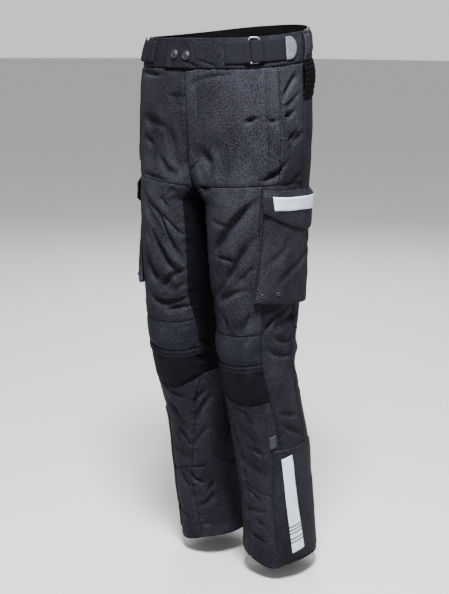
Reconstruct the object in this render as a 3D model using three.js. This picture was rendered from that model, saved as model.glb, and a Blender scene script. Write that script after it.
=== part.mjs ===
import * as THREE from 'three';

// Motorcycle trousers in black textile, filled out as they are when worn, with no wearer in them.
// Millimetres. +Z is up, +X is the wearer's left and -Y is the front.
// The origin is the middle of the waistband, where the wearer's waist holds the trousers up.
// A place on the cloth is a side (1 left, -1 right), an angle round that side's half or leg
// (-90 front, 0 outside, 90 back, 180 inside of the leg, in degrees) and a height.

// Driving dimensions
const BAND_TOP = 28;
const BAND_BOTTOM = -26;
const YOKE_BOTTOM = -90;
const CROTCH_START = -150;
const CROTCH = -270;
const BACK_RISE = 22;
const BACK_TILT = 0.45;
const BACK_RISE_FADE = { from: -28, to: -200 };
const SEAM_GAP = 0.3;
const STAND_OFF = 0.7;
const SHELL = 2;
const BAND = { thick: 3.4, out: 0.8 };
const FLAP_CLOTH = 1.6;
const FILM = 0.6;

// How square the rings are (2 is an ellipse) and how fast the halves close towards the crotch
const SQUARE = 2.25;
const CLOSING_POWER = 1.6;

// reach: from the middle of the trousers to the outside of the leg. leg: half the width of one leg.
// front, back: how deep the ring is before and behind its axis. axis: how far back the axis lies.
const OUTLINE = [
  { height: 40, reach: 155, leg: 77.5, front: 127, back: 111, axis: -9 },
  { height: -28, reach: 171, leg: 85.5, front: 122, back: 120, axis: -22 },
  { height: -100, reach: 179, leg: 89.5, front: 112, back: 127, axis: -31 },
  { height: -180, reach: 182, leg: 91, front: 99, back: 127, axis: -38 },
  { height: -270, reach: 163, leg: 81.2, front: 105, back: 123, axis: -37 },
  { height: -400, reach: 161, leg: 76, front: 96, back: 104, axis: -40 },
  { height: -500, reach: 161, leg: 71, front: 84, back: 91, axis: -41 },
  { height: -570, reach: 159, leg: 70, front: 78, back: 78, axis: -39 },
  { height: -640, reach: 159, leg: 71, front: 76, back: 74, axis: -22 },
  { height: -760, reach: 158, leg: 74, front: 73, back: 79, axis: 12 },
  { height: -880, reach: 157, leg: 68, front: 75, back: 81, axis: 29 },
  { height: -1026, reach: 155, leg: 70, front: 81, back: 82, axis: 55 },
];

// Seams that run down the trousers: the angle of each by height
const SEAMS = {
  slash: [
    { height: -26, angle: -23 },
    { height: -120, angle: -20 },
    { height: -160, angle: -18 },
    { height: -232, angle: -22 },
  ],
  outseam: [
    { height: -26, angle: 3 },
    { height: -156, angle: 5 },
    { height: -240, angle: 10 },
    { height: -600, angle: 14 },
    { height: -1026, angle: 10 },
  ],
  frontOuter: [
    { height: -226, angle: -38 },
    { height: -450, angle: -39 },
    { height: -580, angle: -43 },
    { height: -640, angle: -40 },
    { height: -710, angle: -37 },
    { height: -1026, angle: -40 },
  ],
  frontInner: [
    { height: -240, angle: -128 },
    { height: -350, angle: -135 },
    { height: -470, angle: -142 },
    { height: -530, angle: -154 },
    { height: -620, angle: -152 },
    { height: -680, angle: -128 },
    { height: -760, angle: -109 },
    { height: -1026, angle: -104 },
  ],
  backInner: [
    { height: -240, angle: 128 },
    { height: -350, angle: 133 },
    { height: -620, angle: 140 },
    { height: -1026, angle: 130 },
  ],
};

// Lines that run across the trousers, from the waist down: the height of each by angle,
// and the rows of cloth between it and the next
const LEVELS = {
  bandBottom: { rows: 4, line: [{ angle: -180, height: BAND_BOTTOM }, { angle: 180, height: BAND_BOTTOM }] },
  yoke: { rows: 4, line: [{ angle: -180, height: YOKE_BOTTOM }, { angle: 180, height: YOKE_BOTTOM }] },
  thigh: {
    rows: 11,
    line: [
      { angle: -180, height: -246 },
      { angle: -128, height: -244 },
      { angle: -90, height: -238 },
      { angle: -60, height: -234 },
      { angle: -30, height: -232 },
      { angle: 30, height: -233 },
      { angle: 90, height: -238 },
      { angle: 128, height: -244 },
      { angle: 180, height: -246 },
    ],
  },
  kneeTop: {
    rows: 3,
    line: [
      { angle: -180, height: -506 },
      { angle: -95, height: -520 },
      { angle: -40, height: -512 },
      { angle: 90, height: -516 },
      { angle: 180, height: -506 },
    ],
  },
  kneeMiddle: {
    rows: 4,
    line: [
      { angle: -180, height: -566 },
      { angle: -95, height: -580 },
      { angle: -40, height: -572 },
      { angle: 90, height: -578 },
      { angle: 180, height: -566 },
    ],
  },
  kneeBottom: {
    rows: 7,
    line: [
      { angle: -180, height: -626 },
      { angle: -152, height: -630 },
      { angle: -122, height: -650 },
      { angle: -90, height: -663 },
      { angle: -40, height: -654 },
      { angle: 90, height: -650 },
      { angle: 180, height: -626 },
    ],
  },
  shin: {
    rows: 6,
    line: [
      { angle: -180, height: -838 },
      { angle: -104, height: -848 },
      { angle: -75, height: -861 },
      { angle: -45, height: -868 },
      { angle: 90, height: -856 },
      { angle: 180, height: -838 },
    ],
  },
  hem: {
    rows: 0,
    line: [
      { angle: -180, height: -1008 },
      { angle: -130, height: -1010 },
      { angle: -110, height: -1014 },
      { angle: -95, height: -1022 },
      { angle: -76, height: -1031 },
      { angle: -56, height: -1031 },
      { angle: -38, height: -1023 },
      { angle: 0, height: -1021 },
      { angle: 30, height: -1026 },
      { angle: 90, height: -1026 },
      { angle: 140, height: -1018 },
      { angle: 180, height: -1008 },
    ],
  },
};
const LEVEL_NAMES = Object.keys(LEVELS);

// The largest folds. side: 1 left, -1 right. a, b: the two ends. depth: troughs above 0, ridges below.
// bow: how far the middle of the fold hangs below the straight line between its ends.
// FOLD_DEGREE: millimetres of cloth to a degree. FOLD_ENDS: the share of a fold over which it runs out.
const FOLDS = [
  { side: -1, a: { angle: -66, height: -262 }, b: { angle: -128, height: -385 }, width: 46, depth: 7, bow: 10 },
  { side: -1, a: { angle: -72, height: -322 }, b: { angle: -136, height: -436 }, width: 44, depth: 6, bow: 12 },
  { side: -1, a: { angle: -66, height: -392 }, b: { angle: -126, height: -452 }, width: 40, depth: 5, bow: 10 },
  { side: -1, a: { angle: -72, height: -462 }, b: { angle: -140, height: -482 }, width: 38, depth: 5, bow: 14 },
  { side: -1, a: { angle: -100, height: -130 }, b: { angle: -100, height: -226 }, width: 40, depth: 6, bow: 0 },
  { side: -1, a: { angle: -58, height: -110 }, b: { angle: -70, height: -215 }, width: 44, depth: 5, bow: 0 },
  { side: 1, a: { angle: -50, height: -262 }, b: { angle: -106, height: -362 }, width: 46, depth: 7, bow: 8 },
  { side: 1, a: { angle: -54, height: -338 }, b: { angle: -92, height: -412 }, width: 42, depth: 6, bow: 8 },
  { side: 1, a: { angle: -56, height: -388 }, b: { angle: -112, height: -450 }, width: 40, depth: 5, bow: 10 },
  { side: 1, a: { angle: -50, height: -470 }, b: { angle: -84, height: -512 }, width: 38, depth: 5, bow: 4 },
  { side: 1, a: { angle: -70, height: -150 }, b: { angle: -80, height: -232 }, width: 30, depth: 5, bow: 0 },
  { side: 1, a: { angle: 20, height: -478 }, b: { angle: -28, height: -500 }, width: 36, depth: 5, bow: 6 },
  { side: -1, a: { angle: 16, height: -480 }, b: { angle: -26, height: -506 }, width: 36, depth: 5, bow: 6 },
  { side: 1, a: { angle: 30, height: -560 }, b: { angle: 120, height: -566 }, width: 46, depth: -7, bow: 6 },
  { side: -1, a: { angle: 34, height: -552 }, b: { angle: 124, height: -562 }, width: 46, depth: -7, bow: 8 },
  { side: 1, a: { angle: 36, height: -600 }, b: { angle: 116, height: -612 }, width: 42, depth: 8, bow: 8 },
  { side: -1, a: { angle: 30, height: -596 }, b: { angle: 112, height: -606 }, width: 42, depth: 8, bow: 10 },
  { side: 1, a: { angle: 60, height: -258 }, b: { angle: 122, height: -330 }, width: 50, depth: 7, bow: 10 },
  { side: -1, a: { angle: 66, height: -250 }, b: { angle: 122, height: -318 }, width: 50, depth: 7, bow: 12 },
  { side: 1, a: { angle: 52, height: -350 }, b: { angle: 118, height: -420 }, width: 46, depth: 6, bow: 10 },
  { side: -1, a: { angle: 58, height: -362 }, b: { angle: 124, height: -424 }, width: 46, depth: 6, bow: 8 },
  { side: -1, a: { angle: -72, height: -700 }, b: { angle: -98, height: -760 }, width: 38, depth: 5, bow: 4 },
  { side: -1, a: { angle: -66, height: -810 }, b: { angle: -100, height: -830 }, width: 36, depth: 4, bow: 6 },
  { side: 1, a: { angle: -100, height: -702 }, b: { angle: -72, height: -756 }, width: 38, depth: 5, bow: 4 },
  { side: 1, a: { angle: -102, height: -790 }, b: { angle: -68, height: -822 }, width: 36, depth: 4, bow: 4 },
  { side: 1, a: { angle: 56, height: -720 }, b: { angle: 112, height: -790 }, width: 46, depth: 5, bow: 8 },
  { side: -1, a: { angle: 60, height: -700 }, b: { angle: 118, height: -772 }, width: 46, depth: 5, bow: 8 },
  { side: 1, a: { angle: 60, height: -880 }, b: { angle: 116, height: -930 }, width: 44, depth: 4, bow: 6 },
  { side: -1, a: { angle: 58, height: -866 }, b: { angle: 112, height: -920 }, width: 44, depth: 4, bow: 6 },
];
const FOLD_DEGREE = 1.6;
const FOLD_ENDS = { from: -0.12, to: 0.3 };

// Cargo pocket on the outside of each thigh, with a flap and a blank light label
const POCKET = {
  rows: 10,
  columns: 9,
  top: -264,
  low: -458,
  deep: 190,
  back: 47,
  thick: 2,
  deepest: 3.4,
  proudTop: 6.4,
  proudBottom: 12.5,
  sideTop: 3.4,
  sideBottom: 11.5,
  sideRamp: 16,
  front: [
    { height: -262, angle: -36 },
    { height: -330, angle: -38 },
    { height: -390, angle: -43 },
    { height: -430, angle: -48 },
    { height: -456, angle: -53 },
  ],
  bottom: [
    { angle: -54, height: -447 },
    { angle: -27, height: -452 },
    { angle: 2, height: -459 },
    { angle: 48, height: -468 },
  ],
};
const FLAP = {
  rows: 5,
  columns: 9,
  front: -38,
  back: 48,
  top: -239,
  topBack: -250,
  ramp: 13,
  lower: [
    { angle: -38, height: -279 },
    { angle: -20, height: -295 },
    { angle: -1, height: -311 },
    { angle: 16, height: -322 },
    { angle: 34, height: -324 },
    { angle: 48, height: -317 },
  ],
};
const LABEL = {
  rows: 3,
  columns: 9,
  front: -28,
  slant: 3,
  back: 43,
  topFront: -250,
  topBack: -262,
  tall: 26,
  thick: 0.9,
};
const EYELET = {
  outer: 3.8,
  inner: 2,
  bevel: 0.8,
  thick: 1.2,
  sides: 10,
  angles: { front: -40.5, back: -21 },
  height: -433,
};

// Storm flap on the outside of each lower leg, with a reflective stripe
const STORM = {
  rows: 11,
  columns: 7,
  top: -762,
  bottom: -1012,
  back: 38,
  front: [
    { height: -762, angle: -50 },
    { height: -872, angle: -57 },
    { height: -1012, angle: -53 },
  ],
};
const STRIPE = {
  rows: 11,
  columns: 3,
  top: -782,
  rise: 6,
  bottom: -998,
  frontTop: -37,
  frontBottom: -29,
  wideTop: 20,
  wideBottom: 22.6,
};
const TAB = {
  rows: 3,
  columns: 2,
  front: -52.5,
  wide: 12,
  top: -733,
  bottom: -760,
  rise: 6.5,
  slant: -1.5,
  thick: 1.8,
};

// Slash pocket welt and fly
const WELT = { rows: 9, columns: 2, front: -34.5, back: -22.8, top: -31, bottom: -207 };
const FLY = {
  rows: 9,
  columns: 3,
  inner: 2,
  wide: 27,
  top: -30,
  curveFrom: -160,
  bottom: -206,
  corner: 6,
  standOff: 1.1,
};

// Waist, in degrees from the middle of the front: the left front laps over the right one as far as
// LAP.end, and lies flat again at LAP.flatTo. The side seams of the band are at BAND_SEAM.
const LAP = { end: -14, flatFrom: 1.5, flatTo: 8, out: 4.6, thick: 2.9 };
const BAND_SEAM = 94;
const BAND_GAP = 0.06;
const BAND_COLUMNS = { frontLeft: 18, frontRight: 14, back: 24 };
const BAND_ROWS = 3;
const SNAP = {
  radius: 8.5,
  shoulder: 7,
  cap: 4.25,
  rim: 1.2,
  shoulderTall: 2.9,
  tall: 3.6,
  sides: 16,
};
const SNAPS = [
  { name: 'snap_outer', turn: -5.8, height: -1, rise: 0.45 },
  { name: 'snap_inner', turn: 1.4, height: -3, rise: 0.1 },
];
const ANCHOR = { rows: 3, columns: 3, front: -63, back: -48, top: 21, bottom: -18, thick: 1.8 };
const STRAP = { rows: 3, columns: 6, front: -45, back: -15.4, top: 21, bottom: -17, thick: 1.6 };
const STRAP_END = {
  rows: 5,
  columns: 3,
  gap: 0.15,
  back: -5,
  top: 22,
  bottom: -18,
  thick: 3.2,
  rounding: 0.45,
};
const RING = {
  angle: -42,
  height: 3,
  wide: 21,
  tall: 48,
  bar: 2.8,
  thick: 2.4,
  corner: 6,
  cornerSteps: 3,
  out: 3.6,
};
const LOOPS = [
  { name: 'belt_loop_side', angle: 8, half: 5 },
  { name: 'belt_loop_back', angle: 40, half: 2.7 },
];
const LOOP = { rows: 8, columns: 2, top: 26, bottom: -24, thick: 1.5, out: 5.8, riseFrom: 0.04, riseTo: 0.24 };

// Accordion ribs across the back yoke
const RIBS = { count: 5, columns: 16, deep: 1.8, thick: 2.2, swell: 5 };

const { clamp, lerp, degToRad, radToDeg, smoothstep } = THREE.MathUtils;

// A smooth line through the rows of a table, from the column `key` to the column `value`
function along(rows, key, value, at) {
  const last = rows.length - 1;
  const way = Math.sign(rows[last][key] - rows[0][key]);
  const x = way * clamp(way * at, way * rows[0][key], way * rows[last][key]);
  let i = 0;
  while (i < last - 1 && way * (x - rows[i + 1][key]) > 0) i += 1;
  const slope = (j) => {
    const before = Math.max(j - 1, 0);
    const after = Math.min(j + 1, last);
    const left = rows[j][key] - rows[before][key];
    const right = rows[after][key] - rows[j][key];
    const fall = rows[j][value] - rows[before][value];
    const rise = rows[after][value] - rows[j][value];
    if (left === 0) return rise / right;
    if (right === 0) return fall / left;
    return (left * left * rise + right * right * fall) / (left * right * (left + right));
  };
  const span = rows[i + 1][key] - rows[i][key];
  const t = (x - rows[i][key]) / span;
  const s = 1 - t;
  const from = (1 + 2 * t) * s * s * rows[i][value] + t * s * s * span * slope(i);
  const to = t * t * (3 - 2 * t) * rows[i + 1][value] - t * t * s * span * slope(i + 1);
  return from + to;
}

function wrap(angle) {
  return angle - 360 * Math.round(angle / 360);
}

// 0 where the two halves are open to each other, 1 where the legs part
function closing(height) {
  return clamp((CROTCH_START - height) / (CROTCH_START - CROTCH), 0, 1) ** CLOSING_POWER;
}

// The angle at which a half meets the middle of the trousers, before or behind
function centreAngle(height) {
  return radToDeg(Math.acos(-(closing(height) ** (SQUARE / 2))));
}

// The height of the crotch seam at an angle
function crotchHeight(angle) {
  const inward = Math.max(-Math.cos(degToRad(angle)), 0) ** (2 / SQUARE);
  return CROTCH_START - (inward ** (1 / CLOSING_POWER)) * (CROTCH_START - CROTCH);
}

function ringAt(height) {
  const column = (name) => along(OUTLINE, 'height', name, height);
  const reach = column('reach');
  const half = height > CROTCH ? reach / (1 + closing(height)) : column('leg');
  return { middle: reach - half, half, axis: column('axis'), front: column('front'), back: column('back') };
}

function bend(value) {
  return Math.sign(value) * Math.abs(value) ** (2 / SQUARE);
}

// The waist stands higher behind than in front, most on the left, and this fades out towards the hips
function backRise(side, angle, height) {
  const fade = smoothstep(height, BACK_RISE_FADE.to, BACK_RISE_FADE.from);
  const turn = degToRad(angle);
  const tilt = 1 + BACK_TILT * side * Math.cos(turn);
  return fade * BACK_RISE * tilt * (0.5 + 0.5 * Math.sin(turn)) ** 1.5;
}

function formPoint(side, angle, height) {
  const ring = ringAt(height);
  const turn = degToRad(angle);
  const depth = Math.sin(turn) < 0 ? ring.front : ring.back;
  const x = ring.middle + ring.half * bend(Math.cos(turn)) + SEAM_GAP / 2;
  const y = ring.axis + depth * bend(Math.sin(turn));
  return new THREE.Vector3(side * x, y, height + backRise(side, angle, height));
}

function formNormal(side, angle, height) {
  const step = 0.5;
  const across = formPoint(side, angle + step, height).sub(formPoint(side, angle - step, height));
  const up = formPoint(side, angle, height + step).sub(formPoint(side, angle, height - step));
  return across.cross(up).multiplyScalar(side).normalize();
}

function degreeLength(angle, height) {
  const step = 0.25;
  return formPoint(1, angle + step, height).distanceTo(formPoint(1, angle - step, height)) / (2 * step);
}

// How far the folds push the cloth out at a place
function foldOut(side, angle, height) {
  let out = 0;
  for (const fold of FOLDS) {
    if (fold.side !== side) continue;
    const run = wrap(fold.b.angle - fold.a.angle) * FOLD_DEGREE;
    const drop = fold.b.height - fold.a.height;
    const dx = wrap(angle - fold.a.angle) * FOLD_DEGREE;
    const dz = height - fold.a.height;
    const t = clamp((dx * run + dz * drop) / (run * run + drop * drop), 0, 1);
    const hang = fold.bow * 4 * t * (1 - t);
    const apart = Math.hypot(dx - t * run, dz - t * drop + hang) / (fold.width / 2);
    if (apart >= 1) continue;
    const start = smoothstep(t, FOLD_ENDS.from, FOLD_ENDS.to);
    const end = smoothstep(1 - t, FOLD_ENDS.from, FOLD_ENDS.to);
    out -= fold.depth * start * end * Math.cos((Math.PI / 2) * apart) ** 2;
  }
  return out;
}

function clothPoint(side, angle, height, out) {
  const normal = formNormal(side, angle, height);
  return formPoint(side, angle, height).addScaledVector(normal, out + foldOut(side, angle, height));
}

// A closed body between an outer and an inner grid of points, each a list of rows
function bodyBetween(outer, inner) {
  const rows = outer.length;
  const columns = outer[0].length;
  const at = (layer, row, column) => layer * rows * columns + row * columns + column;
  const faces = [];
  const quad = (a, b, c, d) => faces.push(a, b, c, a, c, d);
  for (let r = 0; r < rows - 1; r += 1) {
    for (let c = 0; c < columns - 1; c += 1) {
      quad(at(0, r, c), at(0, r + 1, c), at(0, r + 1, c + 1), at(0, r, c + 1));
      quad(at(1, r, c), at(1, r, c + 1), at(1, r + 1, c + 1), at(1, r + 1, c));
    }
    quad(at(1, r, 0), at(1, r + 1, 0), at(0, r + 1, 0), at(0, r, 0));
    quad(at(0, r, columns - 1), at(0, r + 1, columns - 1), at(1, r + 1, columns - 1), at(1, r, columns - 1));
  }
  for (let c = 0; c < columns - 1; c += 1) {
    quad(at(0, 0, c), at(0, 0, c + 1), at(1, 0, c + 1), at(1, 0, c));
    quad(at(1, rows - 1, c), at(1, rows - 1, c + 1), at(0, rows - 1, c + 1), at(0, rows - 1, c));
  }
  const points = [...outer.flat(), ...inner.flat()];
  let volume = 0;
  for (let i = 0; i < faces.length; i += 3) {
    const [a, b, c] = faces.slice(i, i + 3).map((index) => points[index]);
    volume += a.dot(b.clone().cross(c));
  }
  if (volume < 0) faces.reverse();
  const geometry = new THREE.BufferGeometry();
  geometry.setAttribute('position', new THREE.Float32BufferAttribute(points.flatMap((p) => p.toArray()), 3));
  geometry.setIndex(faces);
  geometry.computeVertexNormals();
  return geometry;
}

const group = new THREE.Group();

function finish(color, roughness, metalness = 0) {
  return () => new THREE.MeshStandardMaterial({ color, roughness, metalness });
}

const CLOTH = finish('#1b1c20', 0.85);
const KNEE_CLOTH = finish('#25272c', 0.9);
const STRETCH = finish('#141519', 0.8);
const WEBBING = finish('#18191c', 0.9);
const REFLECTIVE = finish('#c9ced3', 0.45);
const GREY_RUBBER = finish('#8f9498', 0.6);
const STEEL = finish('#9a9c9f', 0.3, 1);
const DARK_STEEL = finish('#4a4b4e', 0.35, 1);

function add(name, geometry, material) {
  const mesh = new THREE.Mesh(geometry, material());
  mesh.name = name;
  group.add(mesh);
  return mesh;
}

// A piece of cloth. place(u, v) gives its side, angle, height, out and thick at each point,
// with u across from 0 to 1 and v down from 0 to 1.
function addCloth(name, material, rows, columns, place) {
  const outer = [];
  const inner = [];
  for (let r = 0; r <= rows; r += 1) {
    outer.push([]);
    inner.push([]);
    for (let c = 0; c <= columns; c += 1) {
      const { side, angle, height, out, thick, raised = 0 } = place(c / columns, r / rows);
      outer[r].push(clothPoint(side, angle, height, out + raised));
      inner[r].push(clothPoint(side, angle, height, out - thick));
    }
  }
  return add(name, bodyBetween(outer, inner), material);
}

function levelHeight(name, angle) {
  const height = along(LEVELS[name].line, 'angle', 'height', wrap(angle));
  if (name !== 'thigh') return height;
  return Math.min(height, crotchHeight(angle));
}

// The rows of cloth between two levels, each as the level above it and its share of the way to the next
function rowsBetween(from, to) {
  const rows = [];
  for (let i = LEVEL_NAMES.indexOf(from); i < LEVEL_NAMES.indexOf(to); i += 1) {
    const count = LEVELS[LEVEL_NAMES[i]].rows;
    for (let r = 0; r < count; r += 1) rows.push({ level: i, share: r / count });
  }
  rows.push({ level: LEVEL_NAMES.indexOf(to) - 1, share: 1 });
  return rows;
}

function rowHeight(row, angle) {
  const above = levelHeight(LEVEL_NAMES[row.level], angle);
  return lerp(above, levelHeight(LEVEL_NAMES[row.level + 1], angle), row.share);
}

const seam = (name) => (height) => along(SEAMS[name], 'height', 'angle', height);
const slash = seam('slash');
const outseam = seam('outseam');
const frontOuter = seam('frontOuter');
const frontInner = seam('frontInner');
const backInner = seam('backInner');
const frontMiddle = (height) => -centreAngle(height);
const backOfLeg = (height) => Math.min(centreAngle(height), backInner(height));
const innerFromBehind = (height) => backInner(height) - 360;

// The panels that one half of the trousers is sewn from. Their edges depend on their heights and the
// other way round, so a place on a panel is found in a few turns.
const MIDDLE_OF_THIGH = -400;
const SETTLING_TURNS = 6;
const PANELS = [
  { name: 'front_upper', from: 'bandBottom', to: 'thigh', start: frontMiddle, end: slash, columns: 8 },
  { name: 'side_upper', from: 'bandBottom', to: 'thigh', start: slash, end: outseam, columns: 3 },
  { name: 'back_upper', from: 'yoke', to: 'kneeTop', start: outseam, end: backOfLeg, columns: 8 },
  { name: 'front_thigh', from: 'thigh', to: 'kneeTop', start: frontInner, end: frontOuter, columns: 6 },
  { name: 'side_leg', from: 'thigh', to: 'hem', start: frontOuter, end: outseam, columns: 3 },
  { name: 'inner_leg', from: 'thigh', to: 'hem', start: frontInner, end: innerFromBehind, columns: 6 },
  { name: 'knee_upper', from: 'kneeTop', to: 'kneeMiddle', start: frontInner, end: frontOuter, columns: 6 },
  { name: 'knee_lower', from: 'kneeMiddle', to: 'kneeBottom', start: frontInner, end: frontOuter, columns: 6 },
  { name: 'shin_upper', from: 'kneeBottom', to: 'shin', start: frontInner, end: frontOuter, columns: 6 },
  { name: 'shin_lower', from: 'shin', to: 'hem', start: frontInner, end: frontOuter, columns: 6 },
  { name: 'back_calf', from: 'kneeTop', to: 'hem', start: outseam, end: backInner, columns: 7 },
];
const PANEL_CLOTHS = { inner_leg: STRETCH, knee_upper: KNEE_CLOTH, knee_lower: KNEE_CLOTH };

function addPanel(panel, side, sideName) {
  const rows = rowsBetween(panel.from, panel.to);
  const last = rows.length - 1;
  const way = Math.sign(panel.end(MIDDLE_OF_THIGH) - panel.start(MIDDLE_OF_THIGH));
  const place = (u, v) => {
    const index = Math.round(v * last);
    let height = rowHeight(rows[index], 0);
    let angle = 0;
    for (let turn = 0; turn < SETTLING_TURNS; turn += 1) {
      const inset = (way * SEAM_GAP) / 2 / degreeLength(angle, height);
      const start = panel.start(height) + (panel.start === frontMiddle ? 0 : inset);
      const atMiddle = panel.end === backOfLeg && panel.end(height) === centreAngle(height);
      const end = panel.end(height) - (atMiddle ? 0 : inset);
      angle = lerp(start, end, u);
      height = rowHeight(rows[index], angle);
    }
    if (index === 0) height -= SEAM_GAP / 2;
    if (index === last && panel.to !== 'hem') height += SEAM_GAP / 2;
    return { side, angle, height, out: 0, thick: SHELL };
  };
  addCloth(`${panel.name}_${sideName}`, PANEL_CLOTHS[panel.name] ?? CLOTH, last, panel.columns, place);
}

// Back yoke: one piece across the back with raised ribs, as wide as both halves
function addYoke() {
  const rows = RIBS.count * 2;
  const start = outseam(BAND_BOTTOM);
  const place = (u, v) => {
    const turn = lerp(start, 180 - start, u);
    const height = lerp(BAND_BOTTOM - SEAM_GAP / 2, YOKE_BOTTOM + SEAM_GAP / 2, v);
    const edge = outseam(height) - start;
    const side = u < 0.5 ? 1 : -1;
    const inset = edge + SEAM_GAP / 2 / degreeLength(start, height);
    const angle = (u < 0.5 ? turn : 180 - turn) + inset * Math.abs(1 - 2 * u);
    const raised = Math.round(v * rows) % 2 === 1 ? RIBS.deep : 0;
    const out = RIBS.swell * Math.sin(Math.PI * v);
    return { side, angle: Math.min(angle, 90), height, out, thick: RIBS.thick, raised };
  };
  addCloth('back_yoke', STRETCH, rows, RIBS.columns, place);
}

function pocketProud(height) {
  return lerp(POCKET.proudTop, POCKET.proudBottom, clamp((POCKET.top - height) / POCKET.deep, 0, 1));
}

// How far the pocket's outer face stands out, less at its two sides than in the middle
function pocketOut(angle, height) {
  const share = clamp((POCKET.top - height) / POCKET.deep, 0, 1);
  const front = along(POCKET.front, 'height', 'angle', height);
  const fromSide = Math.min(angle - front, POCKET.back - angle) * degreeLength(angle, height);
  const atSide = lerp(POCKET.sideTop, POCKET.sideBottom, share * share);
  return lerp(atSide, pocketProud(height), smoothstep(fromSide, 0, POCKET.sideRamp));
}

function flapTop(angle) {
  return lerp(FLAP.top, FLAP.topBack, (angle - FLAP.front) / (FLAP.back - FLAP.front));
}

function flapOut(angle, height) {
  const flat = STAND_OFF + FLAP_CLOTH;
  return flat + pocketProud(height) * smoothstep(flapTop(angle) - height, 0, FLAP.ramp);
}

function addPocket(side, sideName) {
  addCloth(`cargo_pocket_${sideName}`, CLOTH, POCKET.rows, POCKET.columns, (u, v) => {
    let height = lerp(POCKET.top, POCKET.low, v);
    let angle = 0;
    for (let turn = 0; turn < SETTLING_TURNS; turn += 1) {
      angle = lerp(along(POCKET.front, 'height', 'angle', height), POCKET.back, u);
      height = lerp(POCKET.top, along(POCKET.bottom, 'angle', 'height', angle), v);
    }
    const out = pocketOut(angle, height);
    return { side, angle, height, out, thick: Math.max(POCKET.thick, out - POCKET.deepest) };
  });
  addCloth(`cargo_flap_${sideName}`, CLOTH, FLAP.rows, FLAP.columns, (u, v) => {
    const angle = lerp(FLAP.front, FLAP.back, u);
    const height = lerp(flapTop(angle), along(FLAP.lower, 'angle', 'height', angle), v);
    return { side, angle, height, out: flapOut(angle, height), thick: FLAP_CLOTH };
  });
  addCloth(`flap_label_${sideName}`, REFLECTIVE, LABEL.rows, LABEL.columns, (u, v) => {
    const angle = lerp(LABEL.front + LABEL.slant * v, LABEL.back, u);
    const height = lerp(LABEL.topFront, LABEL.topBack, u) - LABEL.tall * v;
    const out = flapOut(angle, height) + STAND_OFF + LABEL.thick;
    return { side, angle, height, out, thick: LABEL.thick };
  });
}

function addLowerLegTrim(side, sideName) {
  const stormOut = STAND_OFF + FLAP_CLOTH;
  addCloth(`storm_flap_${sideName}`, CLOTH, STORM.rows, STORM.columns, (u, v) => {
    const height = lerp(STORM.top, STORM.bottom, v);
    const angle = lerp(along(STORM.front, 'height', 'angle', height), STORM.back, u);
    return { side, angle, height, out: stormOut, thick: FLAP_CLOTH };
  });
  addCloth(`reflective_stripe_${sideName}`, REFLECTIVE, STRIPE.rows, STRIPE.columns, (u, v) => {
    const height = lerp(STRIPE.top, STRIPE.bottom, v) + STRIPE.rise * u;
    const wide = lerp(STRIPE.wideTop, STRIPE.wideBottom, v);
    const angle = lerp(STRIPE.frontTop, STRIPE.frontBottom, v) + wide * u;
    return { side, angle, height, out: stormOut + STAND_OFF + FILM, thick: FILM };
  });
  addCloth(`side_tab_${sideName}`, GREY_RUBBER, TAB.rows, TAB.columns, (u, v) => {
    const angle = TAB.front + TAB.wide * u + TAB.slant * v;
    const height = lerp(TAB.top, TAB.bottom, v) + TAB.rise * u;
    return { side, angle, height, out: STAND_OFF + TAB.thick, thick: TAB.thick };
  });
}

function addWelt(side, sideName) {
  addCloth(`pocket_welt_${sideName}`, CLOTH, WELT.rows, WELT.columns, (u, v) => ({
    side,
    angle: lerp(WELT.front, WELT.back, u),
    height: lerp(WELT.top, WELT.bottom, v),
    out: STAND_OFF + FLAP_CLOTH,
    thick: FLAP_CLOTH,
  }));
}

// The angle at which the left front lies at a distance from the middle of the trousers
function angleFromMiddle(distance, height) {
  const ring = ringAt(height);
  const share = (distance - ring.middle) / ring.half;
  return -radToDeg(Math.acos(Math.sign(share) * Math.abs(share) ** (SQUARE / 2)));
}

function addFly() {
  addCloth('fly_placket', CLOTH, FLY.rows, FLY.columns, (u, v) => {
    const height = lerp(FLY.top, FLY.bottom, v);
    const curve = clamp((FLY.curveFrom - height) / (FLY.curveFrom - FLY.bottom), 0, 1);
    const wide = lerp(FLY.corner, FLY.wide, Math.sqrt(1 - curve * curve));
    const angle = angleFromMiddle(lerp(FLY.inner, wide, u), height);
    return { side: 1, angle, height, out: FLY.standOff + FLAP_CLOTH, thick: FLAP_CLOTH };
  });
}

// A place on the waistband by its turn from the middle of the front, left turns above 0
function bandPlace(turn) {
  const round = wrap(turn);
  return { side: round < 0 ? -1 : 1, angle: Math.abs(round) - 90 };
}

function addWaistband() {
  const bandHeight = (v) => lerp(BAND_TOP, BAND_BOTTOM + SEAM_GAP / 2, v);
  addCloth('waistband_front_left', CLOTH, BAND_ROWS, BAND_COLUMNS.frontLeft, (u, v) => {
    const turn = lerp(LAP.end, BAND_SEAM - BAND_GAP, u);
    const flat = smoothstep(turn, LAP.flatFrom, LAP.flatTo);
    const out = lerp(LAP.out, BAND.out, flat);
    return { ...bandPlace(turn), height: bandHeight(v), out, thick: lerp(LAP.thick, BAND.thick, flat) };
  });
  addCloth('waistband_front_right', CLOTH, BAND_ROWS, BAND_COLUMNS.frontRight, (u, v) => {
    const turn = lerp(-BAND_GAP, BAND_GAP - BAND_SEAM, u);
    return { ...bandPlace(turn), height: bandHeight(v), out: BAND.out, thick: BAND.thick };
  });
  addCloth('waistband_back', CLOTH, BAND_ROWS, BAND_COLUMNS.back, (u, v) => {
    const turn = lerp(BAND_SEAM + BAND_GAP, 360 - BAND_SEAM - BAND_GAP, u);
    return { ...bandPlace(turn), height: bandHeight(v), out: BAND.out, thick: BAND.thick };
  });
}

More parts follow.
